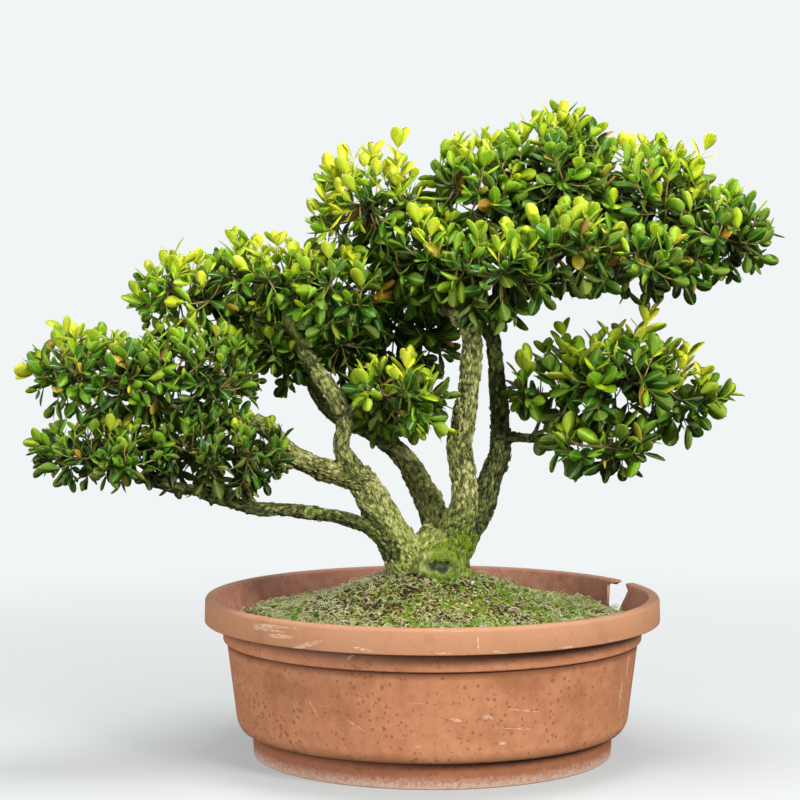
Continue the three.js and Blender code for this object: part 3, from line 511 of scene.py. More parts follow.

# %% [markdown]
# ## The wood
# All the wood grew as one piece: the base, five stems, their arms and the branches that carry the foliage.
# Each limb is a route of listed points with the thickness of the wood there, the same as in the CAD.
# Skin or metaball modelling could do it too, but tubes along routes keep every thickness as measured. A
# voxel remesh then grows the tubes together, and a smoothing softens the crotches.

# %% Routes of the limbs: x, y, z and radius in mm
LIMBS = {
    "crown": [(3, 5, 96, 27), (3, 5, 122, 31), (3, 4, 138, 28.5), (5, 3, 152, 25), (12, 3, 168, 19)],
    "left_stem": [(-13, 2, 134, 17.5), (-22, 0, 152, 16), (-31, -8, 169, 14.2), (-40, -14, 187, 12.8),
                  (-48, -18, 203, 12), (-57, -22, 216, 11.2)],
    "left_arm": [(-54, -21, 212, 10), (-76, -26, 218, 8.4), (-95, -32, 226, 8), (-109, -38, 236, 7.5),
                 (-122, -44, 252, 6.8), (-132, -48, 257, 6), (-150, -54, 264, 5), (-169, -58, 268, 4.3),
                 (-190, -60, 271, 3.7), (-216, -58, 279, 3), (-247, -56, 287, 2.2)],
    "left_riser": [(-57, -22, 214, 9), (-68, -26, 235, 6.9), (-68, -28, 245, 6.7), (-66, -30, 255, 6.6),
                   (-70, -30, 270, 6.5), (-78, -28, 283, 6.4), (-89, -26, 297, 6.1), (-97, -24, 310, 5.5),
                   (-103, -22, 322, 4.9), (-112, -18, 340, 4), (-124, -12, 358, 2.6)],
    "low_arm": [(-31, -6, 162, 8), (-48, -16, 175, 6), (-67, -26, 183, 5.5), (-83, -34, 187, 5.4),
                (-99, -42, 190, 5.2), (-113, -48, 192, 5.1), (-131, -56, 193, 5.1), (-144, -60, 197, 4.8),
                (-159, -64, 202, 4.6), (-175, -68, 208, 4.3), (-196, -72, 212, 3.9), (-214, -74, 218, 3.3),
                (-234, -74, 232, 2.2)],
    "back_stem": [(7, 8, 152, 14), (4, 17, 173, 11.2), (0, 26, 185, 10.5), (-4, 32, 194, 10),
                  (-10, 38, 204, 9.1), (-17, 44, 216, 8.7), (-25, 50, 226, 8.2), (-36, 56, 235, 7.8),
                  (-48, 62, 243, 7.3),
                  (-59, 68, 247, 6.8), (-71, 73, 251, 6.1), (-83, 78, 258, 5.3), (-96, 82, 276, 4.4),
                  (-104, 82, 304, 2.8)],
    "centre_stem": [(12, 1, 150, 15), (17, -4, 168, 12.8), (22, -8, 184, 11.2), (25, -11, 196, 10.3),
                    (24, -14, 215, 9.9), (22, -16, 228, 9.7), (21, -18, 241, 9.4), (24, -19, 254, 9),
                    (26, -20, 268, 8.6), (28, -20, 281, 8.3), (29, -20, 293, 8.2), (30, -19, 306, 8.1),
                    (30, -18, 318, 7.8), (27, -14, 331, 7)],
    "centre_left_arm": [(28, -15, 328, 6.2), (14, -10, 340, 5.4), (-1, -6, 348, 4.9), (-15, 0, 355, 4.4),
                        (-31, 4, 365, 3.9), (-40, 6, 381, 3.2), (-45, 5, 408, 2.2)],
    "centre_right_arm": [(29, -16, 330, 6.2), (40, -18, 343, 5.6), (58, -22, 351, 5), (85, -28, 356, 4.4),
                         (123, -34, 362, 3.8), (149, -36, 368, 3.4), (176, -34, 375, 2.8),
                         (212, -20, 391, 2)],
    "centre_riser": [(27, -14, 328, 6.2), (33, -6, 348, 5.2), (36, 6, 370, 4.4), (38, 14, 392, 3.4),
                     (39, 18, 412, 2.4)],
    "right_stem": [(16, 5, 152, 14), (25, 6, 168, 12), (33, 8, 178, 10.8), (38, 12, 188, 10),
                   (42, 16, 199, 9.4), (46, 20, 211, 8.7), (51, 24, 222, 8.4), (53, 28, 232, 8.2),
                   (53, 32, 244, 7.8),
                   (53, 34, 257, 7.2), (52, 36, 271, 7), (51, 38, 284, 6.7), (50, 40, 298, 6.3),
                   (48, 42, 313, 5.8), (49, 44, 331, 5.2), (54, 48, 348, 4.7), (65, 50, 368, 4.2),
                   (79, 46, 389, 3.4), (94, 34, 420, 2.4)],
    "right_crown_arm": [(62, 50, 364, 4), (93, 42, 380, 3.3), (124, 30, 394, 2.8), (148, 20, 408, 2.4),
                        (164, 12, 420, 2)],
    "right_arm": [(52, 31, 238, 6), (62, 24, 241, 4.2), (76, 16, 241, 3.6), (97, 8, 240, 3.3),
                  (120, 0, 243, 2.9), (138, -6, 246, 2.6), (158, -10, 250, 2.4), (182, -12, 265, 2)],
}
LIMB_STEP, LIMB_SIDES = 5, 14
# Painted shade: how much darker the bark of a limb is coloured than that of the centre stem, and of any
# branch, where the canopy shades it. Below 0 the bark is painted lighter, as lit.
SHADED_BARK = {"right_stem": 0.19, "low_arm": 0.19, "right_arm": 0.16, "left_stem": -0.06}
SHADED_BRANCH = 0.12
stations = {name: smooth_route(points, LIMB_STEP) for name, points in LIMBS.items()}
print(len(stations), "limbs,", sum(len(s) for s in stations.values()), "stations")

# %% [markdown]
# ### Sprays of leaves and their branches
# The canopy is made of sprays. Each has a middle and half sizes, taken from the CAD, and the limb that
# carries it. Where a spray isn't at its limb's end, a branch of its own leads there, from a share of the
# limb's length.

# %% Sprays: middle, half sizes, limb, share of the limb where the branch leaves
SPRAYS = {
    "left_tip": ((-248, -58, 292), (58, 48, 40), "left_arm", 1),
    "left_low_tip": ((-240, -74, 236), (60, 44, 30), "low_arm", 1),
    "left_mid": ((-180, -46, 291), (57, 54, 48), "left_arm", 0.66),
    "left_low_mid": ((-160, -60, 235), (62, 48, 40), "low_arm", 0.5),
    "upper_left_tip": ((-186, -20, 350), (48, 46, 38), "left_riser", 0.78),
    "upper_left": ((-126, -12, 364), (50, 52, 38), "left_riser", 1),
    "inner_left": ((-126, 6, 306), (48, 50, 36), "left_riser", 0.62),
    "crown_left": ((-48, 2, 414), (52, 50, 54), "centre_left_arm", 1),
    "centre_left": ((-76, -26, 352), (46, 48, 40), "centre_left_arm", 0.6),
    "centre": ((-26, 42, 318), (52, 50, 44), "back_stem", 0.5),
    "centre_low": ((-34, 36, 262), (46, 44, 26), "back_stem", 0.56),
    "centre_high": ((-4, -6, 380), (44, 50, 44), "centre_left_arm", 0.3),
    "top_left": ((36, 18, 430), (46, 52, 52), "centre_riser", 1),
    "top": ((96, 26, 440), (56, 56, 60), "right_stem", 1),
    "top_right": ((164, 10, 424), (56, 54, 52), "right_crown_arm", 1),
    "right_tip": ((215, -15, 398), (44, 46, 42), "centre_right_arm", 1),
    "right_under": ((158, -36, 376), (60, 46, 30), "centre_right_arm", 0.66),
    "front_centre": ((50, -44, 366), (48, 42, 42), "centre_right_arm", 0.2),
    "front_right": ((102, -42, 386), (46, 42, 38), "centre_right_arm", 0.42),
    "low_inner": ((96, 14, 276), (42, 44, 44), "right_arm", 0.3),
    "low_right": ((144, -14, 288), (50, 48, 44), "right_arm", 0.55),
    "low_right_tip": ((184, -12, 275), (40, 40, 35), "right_arm", 1),
    "low_right_under": ((130, -26, 238), (44, 36, 26), "right_arm", 0.5),
    "front_spray": ((-26, -44, 278), (46, 36, 34), "left_riser", 0.34),
    "behind_riser": ((-76, 36, 312), (46, 44, 40), "back_stem", 0.74),
    "back_centre": ((4, 88, 366), (54, 48, 42), "right_stem", 0.72),
    "back_right": ((122, 84, 396), (58, 46, 40), "right_stem", 0.84),
    "back_left": ((-110, 84, 322), (56, 48, 36), "back_stem", 1),
}
BRANCH_RADIUS, BRANCH_TIP_RADIUS = 3.6, 1.6


def branch_route(middle, limb, share):
    """The branch from a limb to the middle of its spray."""
    points = LIMBS[limb]
    at = share * (len(points) - 1)
    i = min(int(at), len(points) - 2)
    start = Vector(points[i]).lerp(Vector(points[i + 1]), at - i)
    thick = min(0.6 * start[3], BRANCH_RADIUS)
    half = start.lerp(Vector((*middle, 0)), 0.5)
    return [(*start[:3], thick), (half[0], half[1] + 3, half[2] + 4, 0.8 * thick),
            (*middle, BRANCH_TIP_RADIUS)]


for name, (middle, _, limb, share) in SPRAYS.items():
    if share < 1:
        stations["branch_" + name] = smooth_route(branch_route(middle, limb, share), LIMB_STEP)
print(len(stations), "limbs and branches")

# %% Grow the wood together
VOXEL, SMOOTHINGS = 1.45, 3
SCAR = (4, -25.5, 147)
SCAR_HALF_WIDTH, SCAR_HALF_HEIGHT, SCAR_LIP = 15, 11, 4.6
SCARS = [  # middle, half width, half height and depth of the healed cuts
    (SCAR, SCAR_HALF_WIDTH, SCAR_HALF_HEIGHT, 3.4), ((-92, -46, 189), 4.5, 4, 0.6),
]

bm = bmesh.new()
for route in stations.values():
    add_tube(bm, route, LIMB_SIDES)
scar_place = Matrix.LocRotScale(Vector(SCAR), None, Vector((SCAR_HALF_WIDTH, SCAR_LIP, SCAR_HALF_HEIGHT)))
bmesh.ops.create_uvsphere(bm, u_segments=24, v_segments=16, radius=1, matrix=scar_place)
bmesh.ops.scale(bm, vec=(MM, MM, MM), verts=bm.verts)
work = plain_object(bm, "work")
modifier = work.modifiers.new("grow_together", "REMESH")
modifier.mode, modifier.voxel_size = "VOXEL", VOXEL * MM
wood = applied(work)
for _ in range(SMOOTHINGS):
    bmesh.ops.smooth_vert(wood, verts=wood.verts, factor=0.5, use_axis_x=True, use_axis_y=True,
                          use_axis_z=True)
print("wood after the remesh:", len(wood.verts), "vertices")

# %% [markdown]
# ### Bark
# Box has a thin corky bark that breaks into small flakes, longer along the limb than across it. The flakes
# are raised in the mesh, so they also roughen the outline. Every point of the surface is unrolled from the
# nearest limb: how far along it lies, and where round it. A noise on those coordinates, squeezed along the
# limb, gives ridges that follow every bend. The same coordinates are kept as an attribute for the colour.

# %% Raise the bark and sink the scar
PLATE_ACROSS, PLATE_ALONG = 4.2, 10
PLATE_HEIGHT, KNOB_HEIGHT = 1.2, 1.5
# Painted light: the bark's colour is made lighter on the side that faces this way, where the lamps fall.
LIT_SIDE = Vector((0.4, -0.4, 0.82))
noise.seed_set(5)  # without it the clock seeds noise_vector, and the plates differ from run to run

nearest = kdtree.KDTree(sum(len(s) for s in stations.values()))
middle_lines = []
for k, (name, route) in enumerate(stations.items()):
    along, shade = 0, SHADED_BARK.get(name, SHADED_BRANCH if name.startswith("branch_") else 0)
    for i, (point, across, aside, radius) in enumerate(frames_along(route)):
        along += (point - middle_lines[-1][0]).length if i else 0
        nearest.insert(point, len(middle_lines))
        middle_lines.append((point, across, aside, radius, along + 1000 * k, shade))
nearest.balance()


def light_patch(point):
    """How much lighter the bark is at a point, in patches of about 24 mm."""
    return 0.14 * noise.noise(point / 24 + Vector((3, 0, 0)))


def bark_coordinates(point):
    """Where a point lies on the bark: two places across the limb and one along it, in mm. Then the radius of
    the
    limb, and how light the bark is there: its light patches less the painted shade of the limb."""
    _, i, _ = nearest.find(point)
    middle, across, aside, radius, along, shade = middle_lines[i]
    off = point - middle
    past = off.dot(across.cross(aside))
    return Vector((off.dot(across), off.dot(aside), along + past)), radius, light_patch(point) - shade


def scar_near(point):
    """The scar that a point belongs to, if any: how far out in it and how far to its side, and its depth."""
    for (x, y, z), half_width, half_height, depth in SCARS:
        wide = (point.x - x) / half_width
        high = (point.z - z) / half_height
        if abs(wide) < 1.5 and abs(high) < 1.5 and point.y < y + 9:
            return math.hypot(wide - 0.12, high) + 0.22 * noise.noise(point / 5), wide, depth
    return 9, 0, 0


def plated(value):
    """Noise from -1 to 1 made into plates of height 1 with narrow creases where it is 0."""
    return min(1, 3.4 * abs(value))


bark_layer = wood.verts.layers.float_vector.new("bark")
ridge_layer = wood.verts.layers.float.new("ridge")
scar_layer = wood.verts.layers.float.new("scar")
wood.normal_update()
moves = []
for v in wood.verts:
    point = v.co / MM
    place, radius, light = bark_coordinates(point)
    scaled = Vector((place.x / PLATE_ACROSS, place.y / PLATE_ACROSS, place.z / PLATE_ALONG))
    bend = noise.noise_vector(point / 12) * 1.1
    plates = plated(noise.noise(scaled + bend))
    fine = noise.noise(Vector((place.x, place.y, place.z * 0.6)) / 2.2)
    knobs = noise.noise(point / 17 + Vector((0, 0, 9)))
    thick = min(1, radius / 9)
    lift = thick * (PLATE_HEIGHT * (plates - 0.6) + 0.7 * fine + KNOB_HEIGHT * knobs)
    # The colour height: plates, grain, light patches, the limb's painted shade, and painted light on the side
    # that faces LIT_SIDE.
    ridge = 0.5 + 0.26 * (plates - 0.7) + 0.3 * fine + light + 0.07 * v.normal.dot(LIT_SIDE)
    ring, wide, depth = scar_near(point)
    scar = 0
    if ring < 1.25:
        scar = min(1, max(0, (1.2 - ring) / 0.35))
        rings = 0.1 * math.sin(17 * ring + 4 * noise.noise(point / 9))
        dish = rings + 0.76 * math.exp(-(((ring - 0.86) / 0.2) ** 2)) - max(0, 1 - (ring / 0.6) ** 2)
        lift = lift * (1 - 0.6 * scar) + depth * dish
        heart = 0.24 + 0.4 * fine + 0.2 * knobs
        callus = 0.6 - 0.16 * wide + 0.2 * fine + rings
        ridge = ridge * (1 - scar) + scar * (callus if ring > 0.5 else heart)
    v[bark_layer] = place
    v[ridge_layer] = ridge
    v[scar_layer] = scar
    moves.append(v.normal * lift * MM)
for v, move in zip(wood.verts, moves):
    v.co += move
print("highest bark ridge", round(max(m.length for m in moves) / MM, 2), "mm")

# %% [markdown]
# ### The bark's finish
# Cork has no gloss at all, and an IOR of about 1.5. Light olive and straw tops stand over almost black
# creases: partly the bark's own colour, and partly painted shade in the creases and painted highlight on the
# tops. A green bloom of algae is strongest at the foot of the tree and in the shade of the crotches.

# %% The bark's material
def bark_finish():
    tree, place, finish = new_material("boxwood_bark", Roughness=0.88, IOR=1.5)
    ridge = add(tree, "Attribute", out="Fac", attribute_name="ridge")
    along_bark = add(tree, "Attribute", out="Vector", attribute_name="bark")
    squeezed = add(tree, "Mapping", {"Vector": along_bark, "Scale": (1, 1, 0.36)})
    grain = add(tree, "TexNoise", {"Vector": squeezed, "Scale": 1 / 1.2, "Detail": 6.0, "Roughness": 0.8})

    # Cork plates about 3 mm across and 7 mm long: cells stretched along the limb, with dark cracks between.
    wander = add(tree, "TexNoise", {"Vector": squeezed, "Scale": 1 / 4, "Detail": 3.0}, out="Color")
    bent = add(tree, "VectorMath", {0: wander, 1: (8, 8, 8), 2: squeezed}, operation="MULTIPLY_ADD")
    cells = add(tree, "TexVoronoi", {"Vector": bent, "Scale": 1 / 2.7}, out="Distance",
                feature="DISTANCE_TO_EDGE")
    plates = add(tree, "MapRange", {"Value": cells, "From Max": 0.2, "To Min": 0.1, "To Max": 0.58})
    relief = add(tree, "Mix", {"Factor": 0.66, "A": plates, "B": grain}, data_type="FLOAT")
    height = add(tree, "Mix", {"Factor": 0.45, "A": relief, "B": ridge}, data_type="FLOAT")
    # Painted shade and highlight: the ramp turns low heights in the creases almost black and high tops pale,
    # over the bark's own dark and light.
    colour = add(tree, "ValToRGB", {"Fac": height}, out="Color",
                 stops=[(0.3, 0x14160A), (0.39, 0x3F421B), (0.47, 0x747640), (0.54, 0xA8A56A),
                        (0.64, 0xE2DBAC)])

    # Algae: a green bloom in patches of about 30 mm, everywhere thin and thick near the soil.
    patches = add(tree, "TexNoise", {"Vector": place, "Scale": 1 / (30 * MM), "Detail": 5.0,
                                     "Roughness": 0.65})
    z = add(tree, "SeparateXYZ", {"Vector": place}, out="Z")
    low = add(tree, "MapRange", {"Value": z, "From Min": 205 * MM, "From Max": 140 * MM, "To Max": 0.2})
    green = add(tree, "Math", {0: patches, 1: low}, operation="ADD")
    green = add(tree, "MapRange", {"Value": green, "From Min": 0.4, "From Max": 0.75, "To Min": 0.15,
                                   "To Max": 0.85})
    # The algae's ramp paints the creases dark and the tops pale in the same way.
    bloom = add(tree, "ValToRGB", {"Fac": height}, out="Color",
                stops=[(0.3, 0x141B06), (0.41, 0x465618), (0.53, 0x83943A), (0.64, 0xBCC66E)])
    colour = add(tree, "Mix", {"Factor": green, "A": colour, "B": bloom}, data_type="RGBA")

    # The scar's callus is smooth and pale, and its middle is old grey-green heartwood.
    scar = add(tree, "Attribute", out="Fac", attribute_name="scar")
    callus = add(tree, "ValToRGB", {"Fac": ridge}, out="Color",
                 stops=[(0.15, 0x2C331A), (0.35, 0x56623A), (0.62, 0x839340), (0.85, 0xAEB468)])
    half = add(tree, "Math", {0: scar, 1: 0.75}, operation="MULTIPLY")
    colour = add(tree, "Mix", {"Factor": half, "A": colour, "B": callus}, data_type="RGBA")
    bump = add(tree, "Bump", {"Height": relief, "Strength": 1.0, "Distance": 2.0 * MM})
    return finish({"Base Color": colour, "Normal": bump})


bark_material = bark_finish()
bark_points = [(v.co.copy(), v.normal.copy(), v[scar_layer]) for v in wood.verts]
# Sorted by place, so that what is drawn from them doesn't depend on the order of the remesh's points.
bark_points.sort(key=lambda spot: [round(c, 5) for c in spot[0]])
make_piece(wood, "box_wood", [bark_material], ["trunk"])

# %% [markdown]
# ### Loose bark flakes
# What makes old box wood look shaggy against the sky is its loose flakes, a few millimetres long and held
# at one end. They could be displaced too, but a displacement can't undercut. So a few kinds of tapered chip
# are stamped over the wood, laid along the limb and tipped up at the free end, on thick wood more and
# larger than on thin arms.

# %% Lay the flakes
FLAKES, FLAKE_KINDS = 3000, 7
FLAKES_FROM = 136  # the height in mm where the moss ends


def flake_shape(rng):
    """A tapered chip along +Z that stands on the bark with its back to -Y, its free end lifted."""
    bm = bmesh.new()
    length, width, thick = 2.6 + 4.2 * rng.random(), 1.2 + 1.6 * rng.random(), 0.6 + 0.6 * rng.random()
    turned = Matrix.Rotation(math.radians(45), 4, "Z")
    bmesh.ops.create_cone(bm, cap_ends=True, segments=4, radius1=1, radius2=0.5, depth=1, matrix=turned)
    skew = rng.random() - 0.5
    for v in bm.verts:
        x, y, z = v.co
        v.co = (width * (0.7 * x + 0.3 * skew * z), thick * y + 0.55 * (z + 0.5) ** 2, length * z)
    return as_stamp(bm, "bark_flake", "ridge", "scar")


rng = random.Random(21)
flake_kinds = [flake_shape(rng) for _ in range(FLAKE_KINDS)]
flakes = bmesh.new()
laid = 0
while laid < FLAKES:
    point, normal, scar = bark_points[rng.randrange(len(bark_points))]
    _, i, _ = nearest.find(point / MM)
    _, across, aside, radius, _, shade = middle_lines[i]
    if scar > 0.05 or rng.random() > min(1, radius / 9) or point.z < FLAKES_FROM * MM:
        continue
    way = across.cross(aside) * rng.choice((-1, 1)) + 0.35 * jitter(rng)
    width_way = normal.cross(way).normalized()
    turn = turn_to(width_way, normal, width_way.cross(normal))
    size = (0.45 + 0.75 * rng.random()) * min(1, 0.45 + radius / 16)
    place = Matrix.Translation(point) @ turn @ Matrix.Scale(size, 4)
    # The flake's tone, less the painted shade of its limb.
    ridge = 0.42 + 0.3 * rng.random() + light_patch(point / MM) - shade
    stamp(flakes, flake_kinds[laid % FLAKE_KINDS], place, ridge=ridge, scar=0.0)
    laid += 1
make_piece(flakes, "bark_flakes", [bark_material])

# %% [markdown]
# ## Soil and moss
# The soil fills the pot under the moss, so the CAD solid stays and only gets its finish. The moss is a
# carpet of cushions. A sculpted lump would look dead, so it is built in three layers: a displaced carpet
# that closes the surface, thousands of tiny shoots on it, and the long dry strands that give it its straw
# colour.

# %% The soil's finish
def soil_finish():
    tree, place, finish = new_material("akadama_and_loam", Roughness=0.95, IOR=1.45)
    grains = add(tree, "TexVoronoi", {"Vector": place, "Scale": 1 / (3 * MM)}, out="Distance")
    tone = add(tree, "TexNoise", {"Vector": place, "Scale": 1 / (4 * MM), "Detail": 5.0})
    colour = add(tree, "ValToRGB", {"Fac": tone}, out="Color",
                 stops=[(0.35, 0x241A12), (0.55, 0x46331F), (0.7, 0x6E5636)])
    bump = add(tree, "Bump", {"Height": grains, "Strength": 0.8, "Distance": 1.2 * MM})
    return finish({"Base Color": colour, "Normal": bump})


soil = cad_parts["soil"]
soil.data.materials.clear()
soil.data.materials.append(soil_finish())

# %% The shape of the mound
SOIL_TOP = [(157.2, 96), (120, 101), (84, 110.5), (54, 123.5), (22, 133.5)]  # radius and height
CARPET_OUTER, CARPET_INNER = SOIL_TOP[0][0], SOIL_TOP[-1][0]
MOSS_DEPTH, ROUND_EDGE, UNDER_MOSS = 5.6, 9, 0.4


def soil_height(r):
    """Height of the soil's mound at a distance from the middle, in mm."""
    for (outer, low), (inner, high) in zip(SOIL_TOP, SOIL_TOP[1:]):
        if r >= inner:
            return low + (high - low) * (outer - min(r, outer)) / (outer - inner)
    return SOIL_TOP[-1][1]


def patchy(x, y, sheet, width):
    """Noise from about -1 to 1, in patches of a width in mm. Sheets far apart are noises of their own."""
    return noise.noise(Vector((x, y, sheet)) / width)


def hill(x, y, middle, half):
    """1 at a middle and less away from it, as a bell with these half sizes falls off."""
    return math.exp(-(((x - middle[0]) / half[0]) ** 2 + ((y - middle[1]) / half[1]) ** 2))


def moss_height(x, y):
    """Height of the top of the moss: cushions 10 to 30 mm wide, smaller lumps on them, and one high pile."""
    r = math.hypot(x, y)
    edge = min(1, max(0, (CARPET_OUTER + 0.3 - r) / ROUND_EDGE))
    cushions = 3.2 * patchy(x, y, 0, 26) + 3.0 * patchy(x, y, 40, 11)
    lumps = 1.3 * patchy(x, y, 80, 4.5)
    pile = 4.5 * hill(x, y, (-44, -34), (30, 26))
    return soil_height(r) + UNDER_MOSS + MOSS_DEPTH * (0.55 + 0.45 * edge) + edge * (cushions + lumps + pile)


print("height of the moss towards the right:", [round(moss_height(x, 0)) for x in (30, 60, 90, 120, 150)])

# %% The moss carpet
CARPET_STEPS, CARPET_STEP = 300, 2.8  # steps round the pot, and mm between its rings

carpet = bmesh.new()
rings = int((CARPET_OUTER - CARPET_INNER) / CARPET_STEP) + 1
over = [(r, soil_height(r) + MOSS_DEPTH) for r in (CARPET_OUTER - i * CARPET_STEP for i in range(rings))]
under = [(r, z + UNDER_MOSS) for r, z in SOIL_TOP]
draw_line(carpet, [(r * MM, z * MM) for r, z in [*over, *reversed(under)]], closed=True)
spin_round(carpet, CARPET_STEPS)
bmesh.ops.recalc_face_normals(carpet, faces=carpet.faces)
for v in carpet.verts:
    x, y, z = v.co / MM
    if z > soil_height(math.hypot(x, y)) + 0.5 * MOSS_DEPTH:
        v.co.z = moss_height(x, y) * MM

# %% [markdown]
# ### Moss colours
# Dry moss is a straw-green mat with living green in the damp hollows and brown where it has died. One rule
# gives the colour of a place on the mound, so the carpet, the shoots and the strands agree: a slow noise
# for green against straw, a quick one for small tufts, and hills for the brown and the damp places. It is
# kept as an attribute on the vertices.

# %% The moss material
def moss_tone(x, y):
    """How green the moss is at a place: 0 dead brown, 0.55 dry straw and 1 fresh green."""
    slow, quick = patchy(x, y, 120, 24), patchy(x, y, 160, 7)
    near = math.exp(-((math.hypot(x, y + 8) / 62) ** 2))
    brown = hill(x, y, (-46, -28), (34, 30))
    damp = hill(x, y, (22, -70), (60, 44)) + hill(x, y, (88, 24), (40, 50))
    return min(1, max(0, 0.63 + 0.42 * slow + 0.45 * quick - 0.22 * near - 0.3 * brown + 0.24 * damp))


DRY_MOSS = [(0.08, 0x171407), (0.25, 0x584819), (0.39, 0xA39448), (0.5, 0xE4E0B4), (0.61, 0xF2F0CC),
            (0.7, 0xC0CE58), (0.84, 0x84B81E)]
LIVING_MOSS = [(0.5, 0x4C7A12), (0.75, 0x7FA81A), (1.0, 0xB4D436)]


def moss_finish(name, stops, clumps=0.0):
    """Moss coloured by the tone of its vertices, with fine fibres, and with clumps of 2 to 3 mm in a mat."""
    tree, place, finish = new_material(name, Roughness=0.93, IOR=1.4)
    tone = add(tree, "Attribute", out="Fac", attribute_name="tone")
    fibre = add(tree, "TexNoise", {"Vector": place, "Scale": 1 / (1.1 * MM), "Detail": 5.0, "Roughness": 0.8})
    clump = add(tree, "TexNoise", {"Vector": place, "Scale": 1 / (2.7 * MM), "Detail": 1.5, "Roughness": 0.6})
    tip = add(tree, "Attribute", out="Fac", attribute_name="tip")
    mixed = add(tree, "Math", {0: fibre, 1: 0.9, 2: tone}, operation="MULTIPLY_ADD")
    mixed = add(tree, "Math", {0: clump, 1: clumps, 2: mixed}, operation="MULTIPLY_ADD")
    mixed = add(tree, "Math", {0: tip, 1: 0.4, 2: mixed}, operation="MULTIPLY_ADD")
    mixed = add(tree, "Math", {0: mixed, 1: 0.58 + 0.5 * clumps}, operation="SUBTRACT")
    colour = add(tree, "ValToRGB", {"Fac": mixed}, out="Color", stops=stops)
    rough = add(tree, "Math", {0: clump, 1: clumps, 2: fibre}, operation="MULTIPLY_ADD")
    bump = add(tree, "Bump", {"Height": rough, "Strength": 1.0, "Distance": 1.5 * MM})
    return finish({"Base Color": colour, "Normal": bump})


mat_material = moss_finish("moss_mat", DRY_MOSS, clumps=1.2)
moss_material = moss_finish("dry_moss", DRY_MOSS)
living_material = moss_finish("living_moss", LIVING_MOSS)
tone_layer = carpet.verts.layers.float.new("tone")
# Painted shade: the carpet's tone is kept low, so it shows dark, as the shade between the shoots and strands
# over it.
for v in carpet.verts:
    v[tone_layer] = 0.12 + 0.38 * min(0.8, moss_tone(v.co.x / MM, v.co.y / MM))
make_piece(carpet, "moss_carpet", [mat_material], ["moss"])

# %% [markdown]
# ### Moss shoots
# A living moss is a crowd of shoots 2 to 4 mm tall. A few kinds of tuft, each of seven pointed shoots, are
# made with the cone operator and copied over the mound, each copy with its own turn and size. They stand
# closer where the moss is green, and some grow on the foot of the tree.

# %% Plant the shoots
TUFT_KINDS, TUFT_SHOOTS, SHOOT_LENGTH, SHOOT_RADIUS, SHOOT_ROOT = 5, 7, 4.0, 0.5, 0.6
TUFTS, TUFTS_OUT = 5800, 154  # how many, and how far from the axis of the pot
GREEN_TUFTS, GREEN_OUT, GREEN_FROM = 1250, 152, 0.68  # more of them, where the moss is greener than this


def tuft_shape(rng):
    """Pointed shoots that lean out all round, with how far up each vertex is for their colour."""
    bm = bmesh.new()
    for i in range(TUFT_SHOOTS):
        turn, lean = i * 2.4, math.radians(18 + 38 * rng.random())
        length = SHOOT_LENGTH * (0.6 + 0.6 * rng.random())
        place = (Matrix.Rotation(turn, 4, "Z") @ Matrix.Rotation(lean, 4, "X")
                 @ Matrix.Translation((0, 0, length / 2 - SHOOT_ROOT)))
        bmesh.ops.create_cone(bm, cap_ends=True, segments=3, radius1=SHOOT_RADIUS, radius2=0, depth=length,
                              matrix=place)
    bmesh.ops.remove_doubles(bm, verts=bm.verts, dist=0.001)
    tip = bm.verts.layers.float.new("tip")
    for v in bm.verts:
        v[tip] = min(1, max(0, v.co.length / SHOOT_LENGTH))
    return as_stamp(bm, "moss_tuft", "tone")


def on_moss(x, y, lift, turn, size):
    """A place on the moss, square to its slope, turned about the upright and scaled."""
    step = 4
    slope_x = (moss_height(x + step, y) - moss_height(x - step, y)) / (2 * step)
    slope_y = (moss_height(x, y + step) - moss_height(x, y - step)) / (2 * step)
    at = Vector((x, y, moss_height(x, y) + lift))
    return (Matrix.Translation(at * MM) @ standing_on(Vector((-slope_x, -slope_y, 1)))
            @ Matrix.Rotation(turn, 4, "Z") @ Matrix.Scale(size, 4))


def scattered(count, outer, rng, crowding=0.5):
    """Places spread over the mound, evenly, or nearer to the foot of the tree with more crowding."""
    for _ in range(count):
        r, turn = outer * (0.035 + 0.965 * rng.random()) ** crowding, 2 * math.pi * rng.random()
        yield r * math.cos(turn), r * math.sin(turn)


rng = random.Random(11)
tuft_kinds = [tuft_shape(rng) for _ in range(TUFT_KINDS)]
shoots = bmesh.new()
green_places = (spot for spot in scattered(20 * GREEN_TUFTS, GREEN_OUT, rng) if moss_tone(*spot) > GREEN_FROM)
for i, (x, y) in enumerate(chain(scattered(TUFTS, TUFTS_OUT, rng, 0.62), islice(green_places, GREEN_TUFTS))):
    tone = moss_tone(x, y) + 0.66 * (rng.random() - 0.42)
    place = on_moss(x, y, -0.4, any_turn(rng), 0.45 + 0.75 * rng.random())
    stamp(shoots, tuft_kinds[i % TUFT_KINDS], place, tone=tone)
make_piece(shoots, "moss_shoots", [moss_material])

# %% Fresh moss on the foot of the tree
TRUNK_TUFTS, MOSSY_FROM = 1000, 0.35


def bright_moss(point):
    """How much living moss grows at a place on the wood: in patches above, below and beside the scar."""
    x, y, z = point / MM
    if z < 134 or z > 182 or y > 14:
        return 0
    above = 1.1 * hill(x, z, (15, 161), (23, 11)) * (1 if y < 4 else 0.4)
    below = hill(x, z, (14, 139), (26, 5))
    beside = hill(x, z, (22, 146), (8, 11)) * (1 if y < -8 else 0)
    return max(above, 0.8 * below, beside) * (0.6 + 1.2 * patchy(x, y, z, 6))


